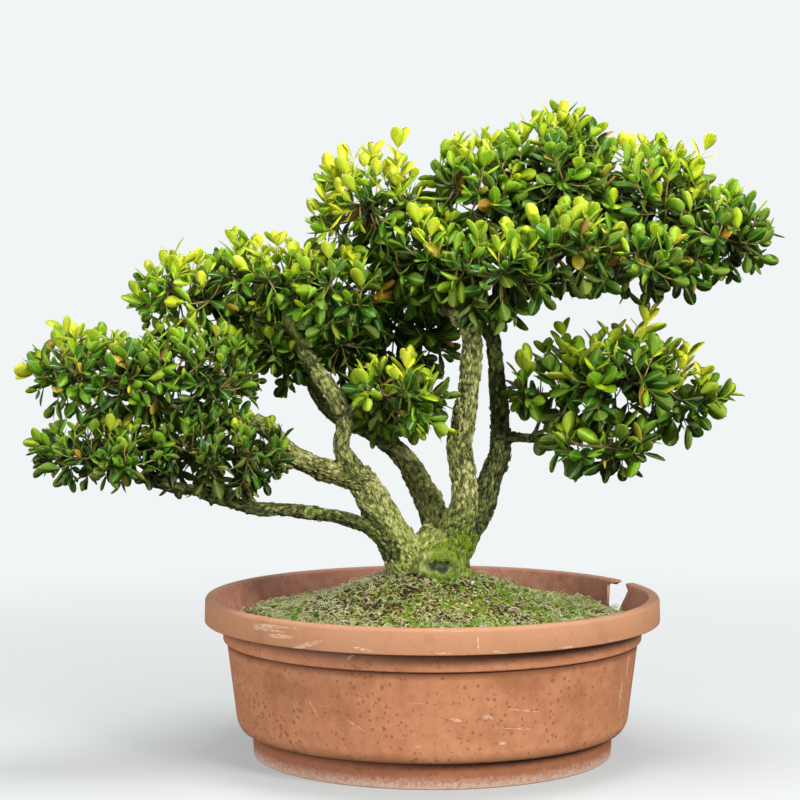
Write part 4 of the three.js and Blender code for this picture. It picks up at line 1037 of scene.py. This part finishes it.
living = bmesh.new()
spots = [(point, normal) for point, normal, _ in bark_points if bright_moss(point) > MOSSY_FROM]
rng = random.Random(12)
for point, normal in rng.sample(spots, min(TRUNK_TUFTS, len(spots))):
    turn = standing_on(normal) @ Matrix.Rotation(any_turn(rng), 4, "Z")
    place = Matrix.Translation(point) @ turn @ Matrix.Scale(0.34 + 0.3 * rng.random(), 4)
    stamp(living, tuft_kinds[rng.randrange(TUFT_KINDS)], place, tone=0.9 + 0.35 * rng.random())
make_piece(living, "trunk_moss", [living_material])

# %% [markdown]
# ### Dry strands and grass
# Long dry moss stems lie in loops over the carpet. A strand is a thin tube along a short wandering arc.
# Some kinds of it are made and stamped over the mound. A grass seedling is such a tube too, but longer,
# green and thinner at the tip.

# %% Lay the dry strands
STRANDS, STRANDS_OUT = 6400, 147  # how many are tried, and how far from the axis of the pot
STRAND_KINDS, STRAND_RADIUS, STRAND_RINGS, THIN_TUBE_SIDES = 18, 0.23, 5, 3


def thin_tube(route, name):
    """A stamp of one thin tube along a route in mm."""
    bm = bmesh.new()
    add_tube(bm, route, THIN_TUBE_SIDES)
    return as_stamp(bm, name, "tone")


def strand_shape(rng):
    """A dry stem that arches up and curls sideways."""
    x, y, heading = -4.0, 0.0, 0.8 * (rng.random() - 0.5)
    curl, step, hump = 2.2 * (rng.random() - 0.5), 1.4 + 1.6 * rng.random(), 0.8 + 2.6 * rng.random()
    route = []
    for k in range(STRAND_RINGS):
        t = k / (STRAND_RINGS - 1)
        thin = STRAND_RADIUS * (0.55 if k in (0, STRAND_RINGS - 1) else 1)
        route.append((x, y, hump * math.sin(math.pi * t) - 0.3, thin))
        x, y, heading = x + step * math.cos(heading), y + step * math.sin(heading), heading + curl
    return thin_tube(route, "dry_strand")


rng = random.Random(13)
strand_kinds = [strand_shape(rng) for _ in range(STRAND_KINDS)]
strands = bmesh.new()
for i, (x, y) in enumerate(scattered(STRANDS, STRANDS_OUT, rng)):
    near_trunk = math.hypot(x, y) < 30 + 80 * rng.random()  # where the moss is short
    if near_trunk or moss_tone(x, y) > 0.5 + 0.42 * rng.random():  # and where it is green
        continue
    place = on_moss(x, y, 0.4 + 2.0 * rng.random(), any_turn(rng), 0.6 + 0.7 * rng.random())
    tone = 0.6 + 0.22 * rng.random() + 0.1 * (moss_tone(x, y) - 0.5)
    stamp(strands, strand_kinds[i % STRAND_KINDS], place, tone=tone)
make_piece(strands, "dry_strands", [moss_material])

# %% Sow the grass
BLADE_KINDS, GRASS_SPREAD = 5, 7
GRASS_PLACES = [  # x and y in mm, and the number of blades there
    (92, 20, 8), (100, 34, 7), (84, 44, 5), (-88, -60, 3), (60, 96, 6), (-70, 90, 5), (112, -50, 3),
]


def blade_shape(rng):
    """A blade of grass that leans over."""
    lean, length = 0.25 + 0.5 * rng.random(), 12 + 12 * rng.random()
    route = [(length * lean * t * t, 0, length * t * (1 - 0.3 * t), 0.55 * (1.05 - t))
             for t in (0, 0.25, 0.5, 0.75, 1)]
    return thin_tube(route, "grass_blade")


grass = bmesh.new()
blade_kinds = [blade_shape(rng) for _ in range(BLADE_KINDS)]
for x, y, blades in GRASS_PLACES:
    for i in range(blades):
        near = (x + GRASS_SPREAD * (rng.random() - 0.5), y + GRASS_SPREAD * (rng.random() - 0.5))
        place = on_moss(*near, -1, any_turn(rng), 0.7 + 0.5 * rng.random())
        stamp(grass, blade_kinds[i % BLADE_KINDS], place, tone=0.75 + 0.35 * rng.random())
make_piece(grass, "grass_seedlings", [living_material])

# %% [markdown]
# ## Leaves
# A box leaf is a small thick blade, 15 to 21 mm long, widest past its middle, with a rounded tip, a slight
# fold along the pale midrib and edges that curl down. A flat card would look like paper from the side, so a
# coarse sphere with four sides is pressed into a closed lens, folded along its middle, and drawn out to the
# outline. Forty-eight triangles are enough at this size, and the veins are left to the finish, which reads
# the UV map.

# %% The leaf's shape
LEAF_LENGTH, LEAF_WIDTH, LEAF_THICK = 18.5, 10.8, 0.5
LEAF_SIDES, LEAF_STATIONS, OLD_LEAF_STATIONS = 4, 7, 5


def leaf_half_width(t):
    """Half the width of the blade, as a share of its full width, at a share t of its length."""
    return 0.5 * math.sin(math.pi * min(1, max(0, t)) ** 1.3) ** (0.45 + 0.35 * (1 - t))


def leaf_shape(name, fold, droop, stations=LEAF_STATIONS):
    """A closed leaf blade along +Y with its root at the origin and its upper side towards +Z."""
    bm = bmesh.new()
    lying = Matrix.Rotation(math.radians(-90), 4, "X") @ Matrix.Rotation(math.radians(90), 4, "Z")
    bmesh.ops.create_uvsphere(bm, u_segments=LEAF_SIDES, v_segments=stations, radius=1, matrix=lying)
    sides = {v: (v.co.x, v.co.y, v.co.z) for v in bm.verts}
    for v, (x, y, z) in sides.items():
        t = (1 + y) / 2
        round_share = max(1e-4, math.hypot(x, z))
        wide = 2 * (x / round_share) * leaf_half_width(t)
        lift = fold * wide * wide - droop * t * t
        thick = LEAF_THICK * z / round_share * (0.6 + 0.9 * (1 - t) ** 2) * min(1, 6 * t, 6 * (1 - t))
        v.co = (LEAF_WIDTH * wide / 2, LEAF_LENGTH * t, lift + thick / 2)
    uv = bm.loops.layers.uv.new("blade")
    for face in bm.faces:
        below = sum(sides[v][2] for v in face.verts) < 0
        for loop in face.loops:
            x, y, _ = loop.vert.co
            loop[uv].uv = (0.5 + x / LEAF_WIDTH + (1 if below else 0), y / LEAF_LENGTH)
    return as_stamp(bm, name, "age", "chance")


leaf_kinds = [leaf_shape("flat_leaf", 0.5, 0.9), leaf_shape("cupped_leaf", 1.5, 0.3),
              leaf_shape("curled_leaf", -0.7, 2.6)]
# The old leaves inside the canopy are hardly seen, so they are coarser and all of one kind.
old_leaf_kinds = [leaf_shape("old_leaf", 0.6, 1.0, OLD_LEAF_STATIONS)] * len(leaf_kinds)
print("one leaf has", len(leaf_kinds[0][0].polygons), "faces")

# %% [markdown]
# ### The leaf's finish
# The blade has a waxy cuticle (IOR about 1.45) that gives a broad sheen on top and is dull underneath.
# Young leaves at the shoot tips are yellow-green and let light through, and old ones inside are deep bluish
# green, the darkest of them partly painted shade. The age of each leaf comes as an attribute, so one finish
# serves them all. The fibres scatter light a short way, which a little subsurface scattering gives.

# %% The leaf's material
def leaf_finish():
    tree, place, finish = new_material("box_leaf", IOR=1.45)
    blade = add(tree, "UVMap", uv_map="blade")
    age = add(tree, "Attribute", out="Fac", attribute_name="age")
    chance = add(tree, "Attribute", out="Fac", attribute_name="chance")
    fresh = add(tree, "ValToRGB", {"Fac": age}, out="Color",
                stops=[(0.0, 0x091D09), (0.22, 0x163C0E), (0.42, 0x346812), (0.6, 0x649410), (0.78, 0xA3BD16),
                       (1.0, 0xD4D62C)])
    # Leaves that are about to drop turn yellow, orange or brown, each by its own chance.
    autumn = add(tree, "ValToRGB", {"Fac": chance}, out="Color",
                 stops=[(0.968, 0x8A9A2A), (0.978, 0xC2B033), (0.988, 0xC8842A), (0.996, 0x8F5A2C)])
    turning = add(tree, "MapRange", {"Value": chance, "From Min": 0.955, "From Max": 0.975, "To Max": 0.85})
    colour = add(tree, "Mix", {"Factor": turning, "A": fresh, "B": autumn}, data_type="RGBA")

    # Blotches of a few millimetres, as no leaf is of one even green.
    blotch = add(tree, "TexNoise", {"Vector": place, "Scale": 1 / (5 * MM), "Detail": 3.0})
    blotch = add(tree, "MapRange", {"Value": blotch, "From Min": 0.3, "From Max": 0.7, "To Min": 0.82,
                                    "To Max": 1.16})
    colour = add(tree, "Mix", {"Factor": 1.0, "A": colour, "B": blotch}, data_type="RGBA",
                 blend_type="MULTIPLY")

    # Midrib and side veins from the blade's own coordinates. The underside has its own tile of the map.
    u, v, _ = add(tree, "SeparateXYZ", {"Vector": blade}, out="X").node.outputs
    under = add(tree, "Math", {0: u, 1: 1.0}, operation="GREATER_THAN")
    across = add(tree, "Math", {0: u, 1: under}, operation="SUBTRACT")
    off = add(tree, "Math", {0: across, 1: 0.5}, operation="SUBTRACT")
    off = add(tree, "Math", {0: off}, operation="ABSOLUTE")
    rib = add(tree, "MapRange", {"Value": off, "From Min": 0.07, "From Max": 0.02, "To Max": 0.5})
    slant = add(tree, "Math", {0: off, 1: -1.1, 2: v}, operation="MULTIPLY_ADD")
    veins = add(tree, "Math", {0: slant, 1: 60.0}, operation="MULTIPLY")
    veins = add(tree, "Math", {0: veins}, operation="SINE")
    vein = add(tree, "MapRange", {"Value": veins, "From Min": 0.5, "From Max": 1.0, "To Max": 0.12})
    line = add(tree, "Math", {0: rib, 1: vein}, operation="MAXIMUM")
    pale = add(tree, "Mix", {"Factor": 0.5, "A": colour, "B": linear(0xC2D05C)}, data_type="RGBA")
    colour = add(tree, "Mix", {"Factor": line, "A": colour, "B": pale}, data_type="RGBA")
    dull = add(tree, "Mix", {"Factor": 0.3, "A": colour, "B": linear(0x8FA640)}, data_type="RGBA")
    colour = add(tree, "Mix", {"Factor": under, "A": colour, "B": dull}, data_type="RGBA")

    rough = add(tree, "MapRange", {"Value": under, "To Min": 0.38, "To Max": 0.6})
    height = add(tree, "Math", {0: blotch, 1: line}, operation="SUBTRACT")
    bump = add(tree, "Bump", {"Height": height, "Strength": 0.12, "Distance": 0.3 * MM})
    return finish({"Base Color": colour, "Roughness": rough, "Normal": bump, "Specular IOR Level": 0.3,
                   "Subsurface Weight": 0.25, "Subsurface Radius": (0.6, 1.0, 0.1),
                   "Subsurface Scale": 2.5 * MM})


def twig_finish():
    tree, place, finish = new_material("young_box_twig", Roughness=0.7, IOR=1.45)
    age = add(tree, "Attribute", out="Fac", attribute_name="age")
    specks = add(tree, "TexNoise", {"Vector": place, "Scale": 1 / (2 * MM), "Detail": 4.0})
    tone = add(tree, "Math", {0: specks, 1: 0.3, 2: age}, operation="MULTIPLY_ADD")
    tone = add(tree, "Math", {0: tone, 1: 0.15}, operation="SUBTRACT")
    colour = add(tree, "ValToRGB", {"Fac": tone}, out="Color",
                 stops=[(0.1, 0x55492A), (0.32, 0x8E8048), (0.55, 0x9C9C42), (0.85, 0x9FB53A)])
    bump = add(tree, "Bump", {"Height": specks, "Strength": 0.5, "Distance": 0.4 * MM})
    return finish({"Base Color": colour, "Normal": bump})


leaf_material, twig_material = leaf_finish(), twig_finish()

# %% [markdown]
# ## Sprays of leaves
# Box leaves sit in opposite pairs, and each pair is turned a quarter against the one before it. The last
# pairs of a shoot stand steep and close like cupped hands, and the older ones open out and turn their upper
# side to the light. In a clipped tree the shoots end on the outside of the spray. So every spray gets
# shoots whose tips are spread evenly over its outside, each on a bent twig that comes from one of a few
# forks in its middle.

# %% One leafy shoot
TWIG_WOOD = 1  # the twig's place among the materials of a spray
PAIR_STEP = 7.2
TIP_LEAN, FULL_LEAN = math.radians(32), math.radians(62)


def shoot_route(root, tip, radius, rng, rings=5):
    """Stations of a twig that leaves its branchlet outwards and turns up towards its tip."""
    reach = tip - root
    sag = 0.13 * reach.length
    side = Vector((rng.random() - 0.5, rng.random() - 0.5, 0)) * 0.2 * reach.length
    bend = root.lerp(tip, 0.55) - UP * sag + side
    points = []
    for i in range(rings):
        t = i / (rings - 1)
        at = root * (1 - t) ** 2 + bend * 2 * t * (1 - t) + tip * t * t
        points.append((*at, radius * (1 - 0.55 * t)))
    return points


def add_leaf(bm, at, direction, face_up, size, wide, age, rng, kinds, keeping):
    """A leaf with its root at a point in mm, along a direction and with its upper side towards face_up."""
    y = direction.normalized()
    x = y.cross(face_up).normalized()
    z = x.cross(y)
    place = Matrix.Translation(at * MM) @ turn_to(x, y, z) @ Matrix.Diagonal((size * wide, size, size, 1))
    kind = kinds[0 if rng.random() < 0.5 else 1 if rng.random() < 0.6 else 2]
    stamp(bm, kind, place, age=age, chance=1 - keeping * rng.random())


def add_twig(bm, route, sides, age):
    """A bare twig in the spray's bmesh, browner at its root than at its tip."""
    layer = bm.verts.layers.float["age"]
    root, tip = Vector(route[0][:3]), Vector(route[-1][:3])
    twig = add_tube(bm, route, sides)
    for v in twig:
        v[layer] = 0.16 + 0.5 * age * min(1, (v.co - root).length / (tip - root).length)
        v.co *= MM
    for face in {f for v in twig for f in v.link_faces}:
        face.material_index = TWIG_WOOD


def add_shoot(bm, route, rng, age, leafy=50, last_size=0.84, kinds=leaf_kinds, keeping=1, leaf_scale=1):
    """A twig with its pairs of leaves. age is that of its outermost leaves, leafy how far back they go, and
    keeping how many of them keep their green: below 1 more of them turn."""
    add_twig(bm, route, 4, age)
    points = [Vector(p[:3]) for p in route]
    last = len(points) - 1
    length = (points[-1] - points[0]).length
    turn = math.pi * rng.random()
    pairs = max(2, int(min(leafy, length * 0.97) / PAIR_STEP))
    count = 0
    for pair in range(pairs):
        at_index = max(0.0, last - pair * PAIR_STEP / length * last)
        i = min(last - 1, int(at_index))
        at = points[i].lerp(points[i + 1], at_index - i)
        axis = (points[i + 1] - points[i]).normalized()
        across = axis.orthogonal().normalized()
        across.rotate(Matrix.Rotation(turn + pair * math.pi / 2 + 0.35 * (rng.random() - 0.5), 3, axis))
        lean = TIP_LEAN + (FULL_LEAN - TIP_LEAN) * min(1, pair / 3)
        size = last_size + (1 - last_size) * min(1, pair / 2)
        for side in (across, -across):
            if pair and rng.random() < 0.06:
                continue
            angle = lean * (0.75 + 0.5 * rng.random())
            direction = axis * math.cos(angle) + side * math.sin(angle)
            face_up = (axis * math.sin(angle) - side * math.cos(angle)).normalized()
            face_up = face_up + UP * (0.2 + 0.6 * rng.random())
            face_up += jitter(rng) * 0.9
            # Leaves further back from the tip are older and darker; the dark of the inner ones is partly
            # painted shade.
            leaf_age = age - 0.12 * pair + 0.3 * (rng.random() - 0.5)
            grown = size * leaf_scale * (0.66 + 0.53 * rng.random())
            wide = 0.85 + 0.25 * rng.random()
            add_leaf(bm, at, direction, face_up, grown, wide, leaf_age, rng, kinds, keeping)
            count += 1
    return count


# %% Shoots that stand out of the canopy: root, tip, age
LONE_SHOOTS = {
    "left_tip": [((-264, -58, 298), (-296, -62, 294), 0.95), ((-262, -60, 306), (-270, -66, 324), 0.95)],
    "left_low_tip": [((-252, -76, 238), (-287, -82, 242), 0.8)],
    "upper_left_tip": [((-192, -22, 360), (-196, -26, 380), 0.85)],
    "upper_left": [((-146, -12, 374), (-150, -14, 390), 0.9)],
    "crown_left": [((-34, 0, 436), (-26, -4, 464), 1.0), ((-62, 0, 430), (-76, -6, 444), 0.95)],
    "top": [((104, 24, 462), (101, 16, 484), 1.0), ((122, 28, 456), (124, 24, 474), 0.2)],
    "top_right": [((178, 8, 442), (180, 4, 462), 1.0), ((190, 6, 438), (208, 0, 462), 1.0)],
    "right_tip": [((228, -16, 398), (250, -20, 400), 0.7), ((226, -16, 388), (246, -24, 380), 0.6)],
    "low_right": [((152, -16, 290), (164, -20, 338), 1.0)],
    "low_inner": [((98, 12, 284), (101, 6, 320), 0.9)],
    "low_right_tip": [((190, -12, 272), (224, -14, 276), 0.75), ((188, -12, 278), (193, -16, 304), 0.9)],
    "front_spray": [((-30, -46, 286), (4, -52, 254), 0.8), ((-40, -46, 284), (-14, -52, 256), 0.7)],
}

# %% How the sprays differ from one another
# How much younger and paler the leaves of a spray are, on a scale from 0 for old to 1 for fresh. This is
# partly
# painted light and shade: sprays in the canopy's shade get darker leaves, and well-lit ones paler leaves.
FRESHNESS_AND_LIGHT = {"crown_left": 0.28, "upper_left": 0.04, "upper_left_tip": 0.06, "left_low_tip": -0.14,
             "left_tip": -0.02, "top_right": 0.05, "left_low_mid": -0.2, "left_mid": -0.1,
             "inner_left": -0.14, "centre": -0.12, "low_right": 0.06, "low_right_tip": 0.07,
             "front_spray": 0.06, "low_right_under": -0.06}
# How many times farther apart its shoots stand.
OPENNESS = {"front_spray": 1.4, "low_right_under": 1.5, "low_right_tip": 1.4, "low_right": 1.3,
            "low_inner": 1.3, "left_low_tip": 0.7, "left_tip": 0.72, "left_mid": 0.66, "left_low_mid": 0.62,
            "inner_left": 0.75, "upper_left_tip": 0.8, "upper_left": 0.85}
# How many times larger its leaves are.
LEAF_SCALE = {"left_tip": 0.9, "left_mid": 0.82, "left_low_mid": 0.78, "left_low_tip": 0.82,
              "inner_left": 0.82, "upper_left_tip": 0.9, "upper_left": 0.9, "crown_left": 0.94,
              "behind_riser": 0.85, "low_right": 1.12, "low_right_tip": 1.1, "low_inner": 1.1,
              "low_right_under": 1.15, "front_centre": 1.06, "front_right": 1.06, "top_left": 1.04,
              "top": 1.04}
# How firmly its leaves keep their green. Below 1, more of them turn yellow, orange or brown.
KEEPING = {"left_tip": 0.4, "left_mid": 0.55, "left_low_mid": 0.7, "inner_left": 0.6, "upper_left": 0.7}

# %% Where the shoots of a spray begin and end
TIP_SPACING = 530  # mm² of the spray's outside for each shoot
TIP_ROOM = 11  # how far inside the spray's outline a shoot ends, as leaves stand beyond it
BARE_BELOW = 0.3  # the share of shoots that the underside lacks
BURIED = 0.62  # a tip deeper in another spray than this gets no light, and doesn't grow
GOLDEN = math.pi * (3 - math.sqrt(5))  # turning by the golden angle spreads points evenly over a sphere
BRANCHLETS, BRANCHLET_REACH, BRANCHLET_RADIUS = 9, 0.66, 1.8


def depth_in(point, name):
    """How deep a point lies in a spray: 0 at its middle, 1 on its outside."""
    middle, size, _, _ = SPRAYS[name]
    return math.sqrt(sum(((p - m) / s) ** 2 for p, m, s in zip(point, middle, size)))


def outside_points(name, rng):
    """Tips spread evenly over the outside of a spray, without those that lie well inside another spray."""
    middle, size, _, _ = SPRAYS[name]
    a, b, c = size
    area = 4 * math.pi * (((a * b) ** 1.6 + (a * c) ** 1.6 + (b * c) ** 1.6) / 3) ** (1 / 1.6)
    count = round(area / TIP_SPACING / OPENNESS.get(name, 1))
    for i in range(count):
        high = 1 - (2 * i + 1) / count
        if high < -0.35 and rng.random() < BARE_BELOW:
            continue
        turn = GOLDEN * i + 0.5 * rng.random()
        flat = math.sqrt(1 - high * high)
        direction = Vector((flat * math.cos(turn), flat * math.sin(turn), high))
        direction = (direction + jitter(rng, 0.3)).normalized()
        reach = Vector([d * s for d, s in zip(direction, size)])
        tip = Vector(middle) + reach * (1 - TIP_ROOM / reach.length)
        buried = min(depth_in(tip, other) for other in SPRAYS if other != name)
        if buried > BURIED:
            yield tip, high


def branchlets(name, rng):
    """Routes of the branchlets that spread from the middle of a spray, a little flatter than the spray."""
    middle, size, _, _ = SPRAYS[name]
    centre = Vector(middle)
    for i in range(round(BRANCHLETS / OPENNESS.get(name, 1))):
        turn, high = GOLDEN * i + 0.7 * rng.random(), 0.9 * (rng.random() - 0.4)
        reach = Vector((size[0] * math.cos(turn), size[1] * math.sin(turn), size[2] * high))
        yield shoot_route(centre, centre + BRANCHLET_REACH * reach, BRANCHLET_RADIUS, rng, rings=7)


# %% Grow the sprays
SHOOT_RISE, SHOOT_RADII = 15, (0.95, 0.9)  # how far a shoot rises, and the radius of usual and of lone shoots


def grow_spray(name):
    """All of one spray: branchlets with old leaves, dark partly as painted shade, and the shoots that grow up
    from them.
    """
    rng = random.Random("box " + name)
    bm = bmesh.new()
    for layer_name in ("age", "chance"):
        bm.verts.layers.float.new(layer_name)
    bm.loops.layers.uv.new("blade")
    leaves, joints, leaf_scale = 0, [], LEAF_SCALE.get(name, 1)
    for route in branchlets(name, rng):
        joints += [Vector(p[:3]) for p in route[1:]]
        leaves += add_shoot(bm, route, rng, 0.2 + 0.14 * rng.random(), leafy=60, kinds=old_leaf_kinds,
                            leaf_scale=leaf_scale)
    for tip, high in outside_points(name, rng):
        below = tip - UP * (SHOOT_RISE if high > -0.3 else 0)
        root = min(joints, key=lambda joint: (joint - below).length + 7 * rng.random())
        age = 0.53 + FRESHNESS_AND_LIGHT.get(name, 0) + 0.3 * high + 0.42 * (rng.random() - 0.5)
        route = shoot_route(root, tip, SHOOT_RADII[0], rng)
        leaves += add_shoot(bm, route, rng, age, keeping=KEEPING.get(name, 1), leaf_scale=leaf_scale)
    for root, tip, age in LONE_SHOOTS.get(name, []):
        route = shoot_route(Vector(root), Vector(tip), SHOOT_RADII[1], rng)
        leaves += add_shoot(bm, route, rng, age, last_size=0.9)
    make_piece(bm, "spray_" + name, [leaf_material, twig_material], ["leaves_" + name])
    return leaves


total = sum(grow_spray(name) for name in SPRAYS)
print("leaves in all:", total)

# %% [markdown]
# ### Litter on the moss
# A few leaves have dropped: yellow and brown box leaves, and a larger dry one that stands by the back of
# the pot. They are the leaf stamps again, laid flat on the moss. Grains of perlite from the potting mix
# show in between.

# %% Drop the leaves
LITTER, LITTER_OUT = 26, 140
rng = random.Random(31)
litter = bmesh.new()
flat = Matrix.Rotation(math.radians(-8), 4, "X")
for x, y in scattered(LITTER, LITTER_OUT, rng):
    place = on_moss(x, y, 2.2, any_turn(rng), 0.5 + 0.4 * rng.random()) @ flat
    stamp(litter, leaf_kinds[rng.randrange(3)], place, age=0.5, chance=0.97 + 0.03 * rng.random())
standing = Matrix.Rotation(math.radians(-50), 4, "X")
stamp(litter, leaf_kinds[2], on_moss(-90, 108, 5, 4.4, 1.7) @ standing, age=0.2, chance=1.0)
stamp(litter, leaf_kinds[1], on_moss(108, -72, 3, 1.2, 1.1) @ flat, age=0.9, chance=0.985)
make_piece(litter, "fallen_leaves", [leaf_material])

# %% Scatter the perlite
PERLITE, PERLITE_OUT, GRAIN_KINDS, GRAIN_RADIUS = 34, 148, 3, 2


def perlite_finish():
    tree, place, finish = new_material("perlite", Roughness=0.9, IOR=1.5)
    tone = add(tree, "TexNoise", {"Vector": place, "Scale": 1 / (2 * MM), "Detail": 4.0})
    colour = add(tree, "ValToRGB", {"Fac": tone}, out="Color", stops=[(0.35, 0xA79F86), (0.65, 0xEDEBE0)])
    return finish({"Base Color": colour})


def grain_shape(rng):
    """A rough grain about 4 mm across."""
    bm = bmesh.new()
    bmesh.ops.create_icosphere(bm, subdivisions=1, radius=GRAIN_RADIUS)
    for v in bm.verts:
        v.co *= 0.7 + 0.5 * rng.random()
    return as_stamp(bm, "perlite_grain")


grain_kinds = [grain_shape(rng) for _ in range(GRAIN_KINDS)]
grains = bmesh.new()
for i, (x, y) in enumerate(scattered(PERLITE, PERLITE_OUT, rng)):
    stamp(grains, grain_kinds[i % GRAIN_KINDS], on_moss(x, y, 0.8, any_turn(rng), 0.4 + 0.5 * rng.random()))
make_piece(grains, "perlite", [perlite_finish()])

# %% [markdown]
# ## Floor, light and camera
# The tree stands in a plain pale light tent. The floor runs up into a round wall with no edge, so every
# side has the same backdrop. Far from the tree the tent glows by itself, which stands for cloth lit from
# outside and keeps the picture free of noise, and near the tree it takes the real shadow.

# %% The light tent
TENT_RADIUS, TENT_COVE, TENT_HEIGHT, TENT_STEPS = 3.2, 1.0, 4.2, 96  # in metres, and steps round it
GLOW_FROM, GLOW_FULL = 0.1, 1.1  # how far from the pot's foot the cloth begins to glow, and glows fully


def tent_finish():
    material = bpy.data.materials.new("white_tent_cloth")
    tree = empty_tree(material)
    place = add(tree, "TexCoord", out="Object")
    away = add(tree, "VectorMath", {0: place}, out="Value", operation="LENGTH")
    glow = add(tree, "MapRange", {"Value": away, "From Min": GLOW_FROM, "From Max": GLOW_FULL, "To Min": 0.3})
    cloth = add(tree, "BsdfDiffuse", {"Color": linear(0xAEB0B1)})
    light = add(tree, "Emission", {"Color": linear(0xF1F5F6), "Strength": 1.0})
    add_output(tree, add(tree, "MixShader", {"Fac": glow, 1: cloth, 2: light}))
    return material


tent = bmesh.new()
cove = [(TENT_RADIUS - TENT_COVE * (1 - math.sin(t)), TENT_COVE * (1 - math.cos(t)))
        for t in (math.pi / 16 * i for i in range(9))]
draw_line(tent, [(0, 0), *cove, (TENT_RADIUS, TENT_HEIGHT)])
spin_round(tent, TENT_STEPS)
tent_object = plain_object(tent, "light_tent")
tent_object.data.materials.append(tent_finish())
tent_object.data.shade_smooth()
tent_object.visible_diffuse = tent_object.visible_glossy = False

# %% The lamps
LOOK_AT = Vector((0, 0, 0.25))


def soft_lamp(name, at, size, power, colour):
    """A round soft box that looks at the middle of the tree. Sizes are in metres and power in watts."""
    data = bpy.data.lights.new(name, "AREA")
    data.shape, data.size, data.energy, data.color = "DISK", size, power, linear(colour)[:3]
    lamp = bpy.data.objects.new(name, data)
    lamp.location = at
    lamp.rotation_euler = (LOOK_AT - Vector(at)).to_track_quat("-Z", "Y").to_euler()
    bpy.context.scene.collection.objects.link(lamp)
    print(f"{name}: {power} W from {(LOOK_AT - Vector(at)).length:.2f} m away")


soft_lamp("window", (1.2, -1.4, 1.1), 0.8, 52, 0xFFFCF4)
soft_lamp("side_fill", (-1.4, -1.3, 0.5), 1.2, 28, 0xFFFBF6)
soft_lamp("top", (0.15, 0.0, 2.1), 0.8, 38, 0xFFFFFF)

# %% [markdown]
# The light that comes from all round is a sky, bright above and dark below, as over dark ground. It is what
# makes the inside of the canopy and the underside of the branches sink into shade.

# %% The sky
SKY_ABOVE, SKY_BELOW = 0.62, 0.06


def sky():
    world = bpy.data.worlds.new("sky")
    tree = empty_tree(world)
    direction = add(tree, "TexCoord", out="Generated")
    up = add(tree, "SeparateXYZ", {"Vector": direction}, out="Z")
    strength = add(tree, "MapRange", {"Value": up, "From Min": -0.35, "From Max": 0.5, "To Min": SKY_BELOW,
                                      "To Max": SKY_ABOVE})
    add_output(tree, add(tree, "Background", {"Color": linear(0xF4F8FA), "Strength": strength}), "World")
    return world


bpy.context.scene.world = sky()
bpy.context.scene.view_settings.view_transform = "Standard"

# %% [markdown]
# ### The camera
# The photograph was taken with a long lens, 1.76 m in front of the middle of the pot and 37 cm above its
# foot, looking slightly down. Those numbers come from fitting the pot's rim, collar and foot circles.

# %% The camera
FOCAL_PIXELS, IMAGE_PIXELS, SENSOR = 2300.35, 800, 36
CAMERA_AT = (5.19, -1763.98, 372.58)  # mm
LOOKING_DOWN, ROLL, TURN = 0.0572, 0.0012, 0.0168  # radians
camera_data = bpy.data.cameras.new("camera")
camera_data.sensor_width, camera_data.lens = SENSOR, FOCAL_PIXELS / IMAGE_PIXELS * SENSOR
camera = bpy.data.objects.new("camera", camera_data)
camera.location = [c * MM for c in CAMERA_AT]
camera.rotation_euler = (math.pi / 2 - LOOKING_DOWN, ROLL, TURN)
bpy.context.scene.collection.objects.link(camera)
bpy.context.scene.camera = camera
print("lens", round(camera_data.lens, 1), "mm on a sensor of", SENSOR, "mm")
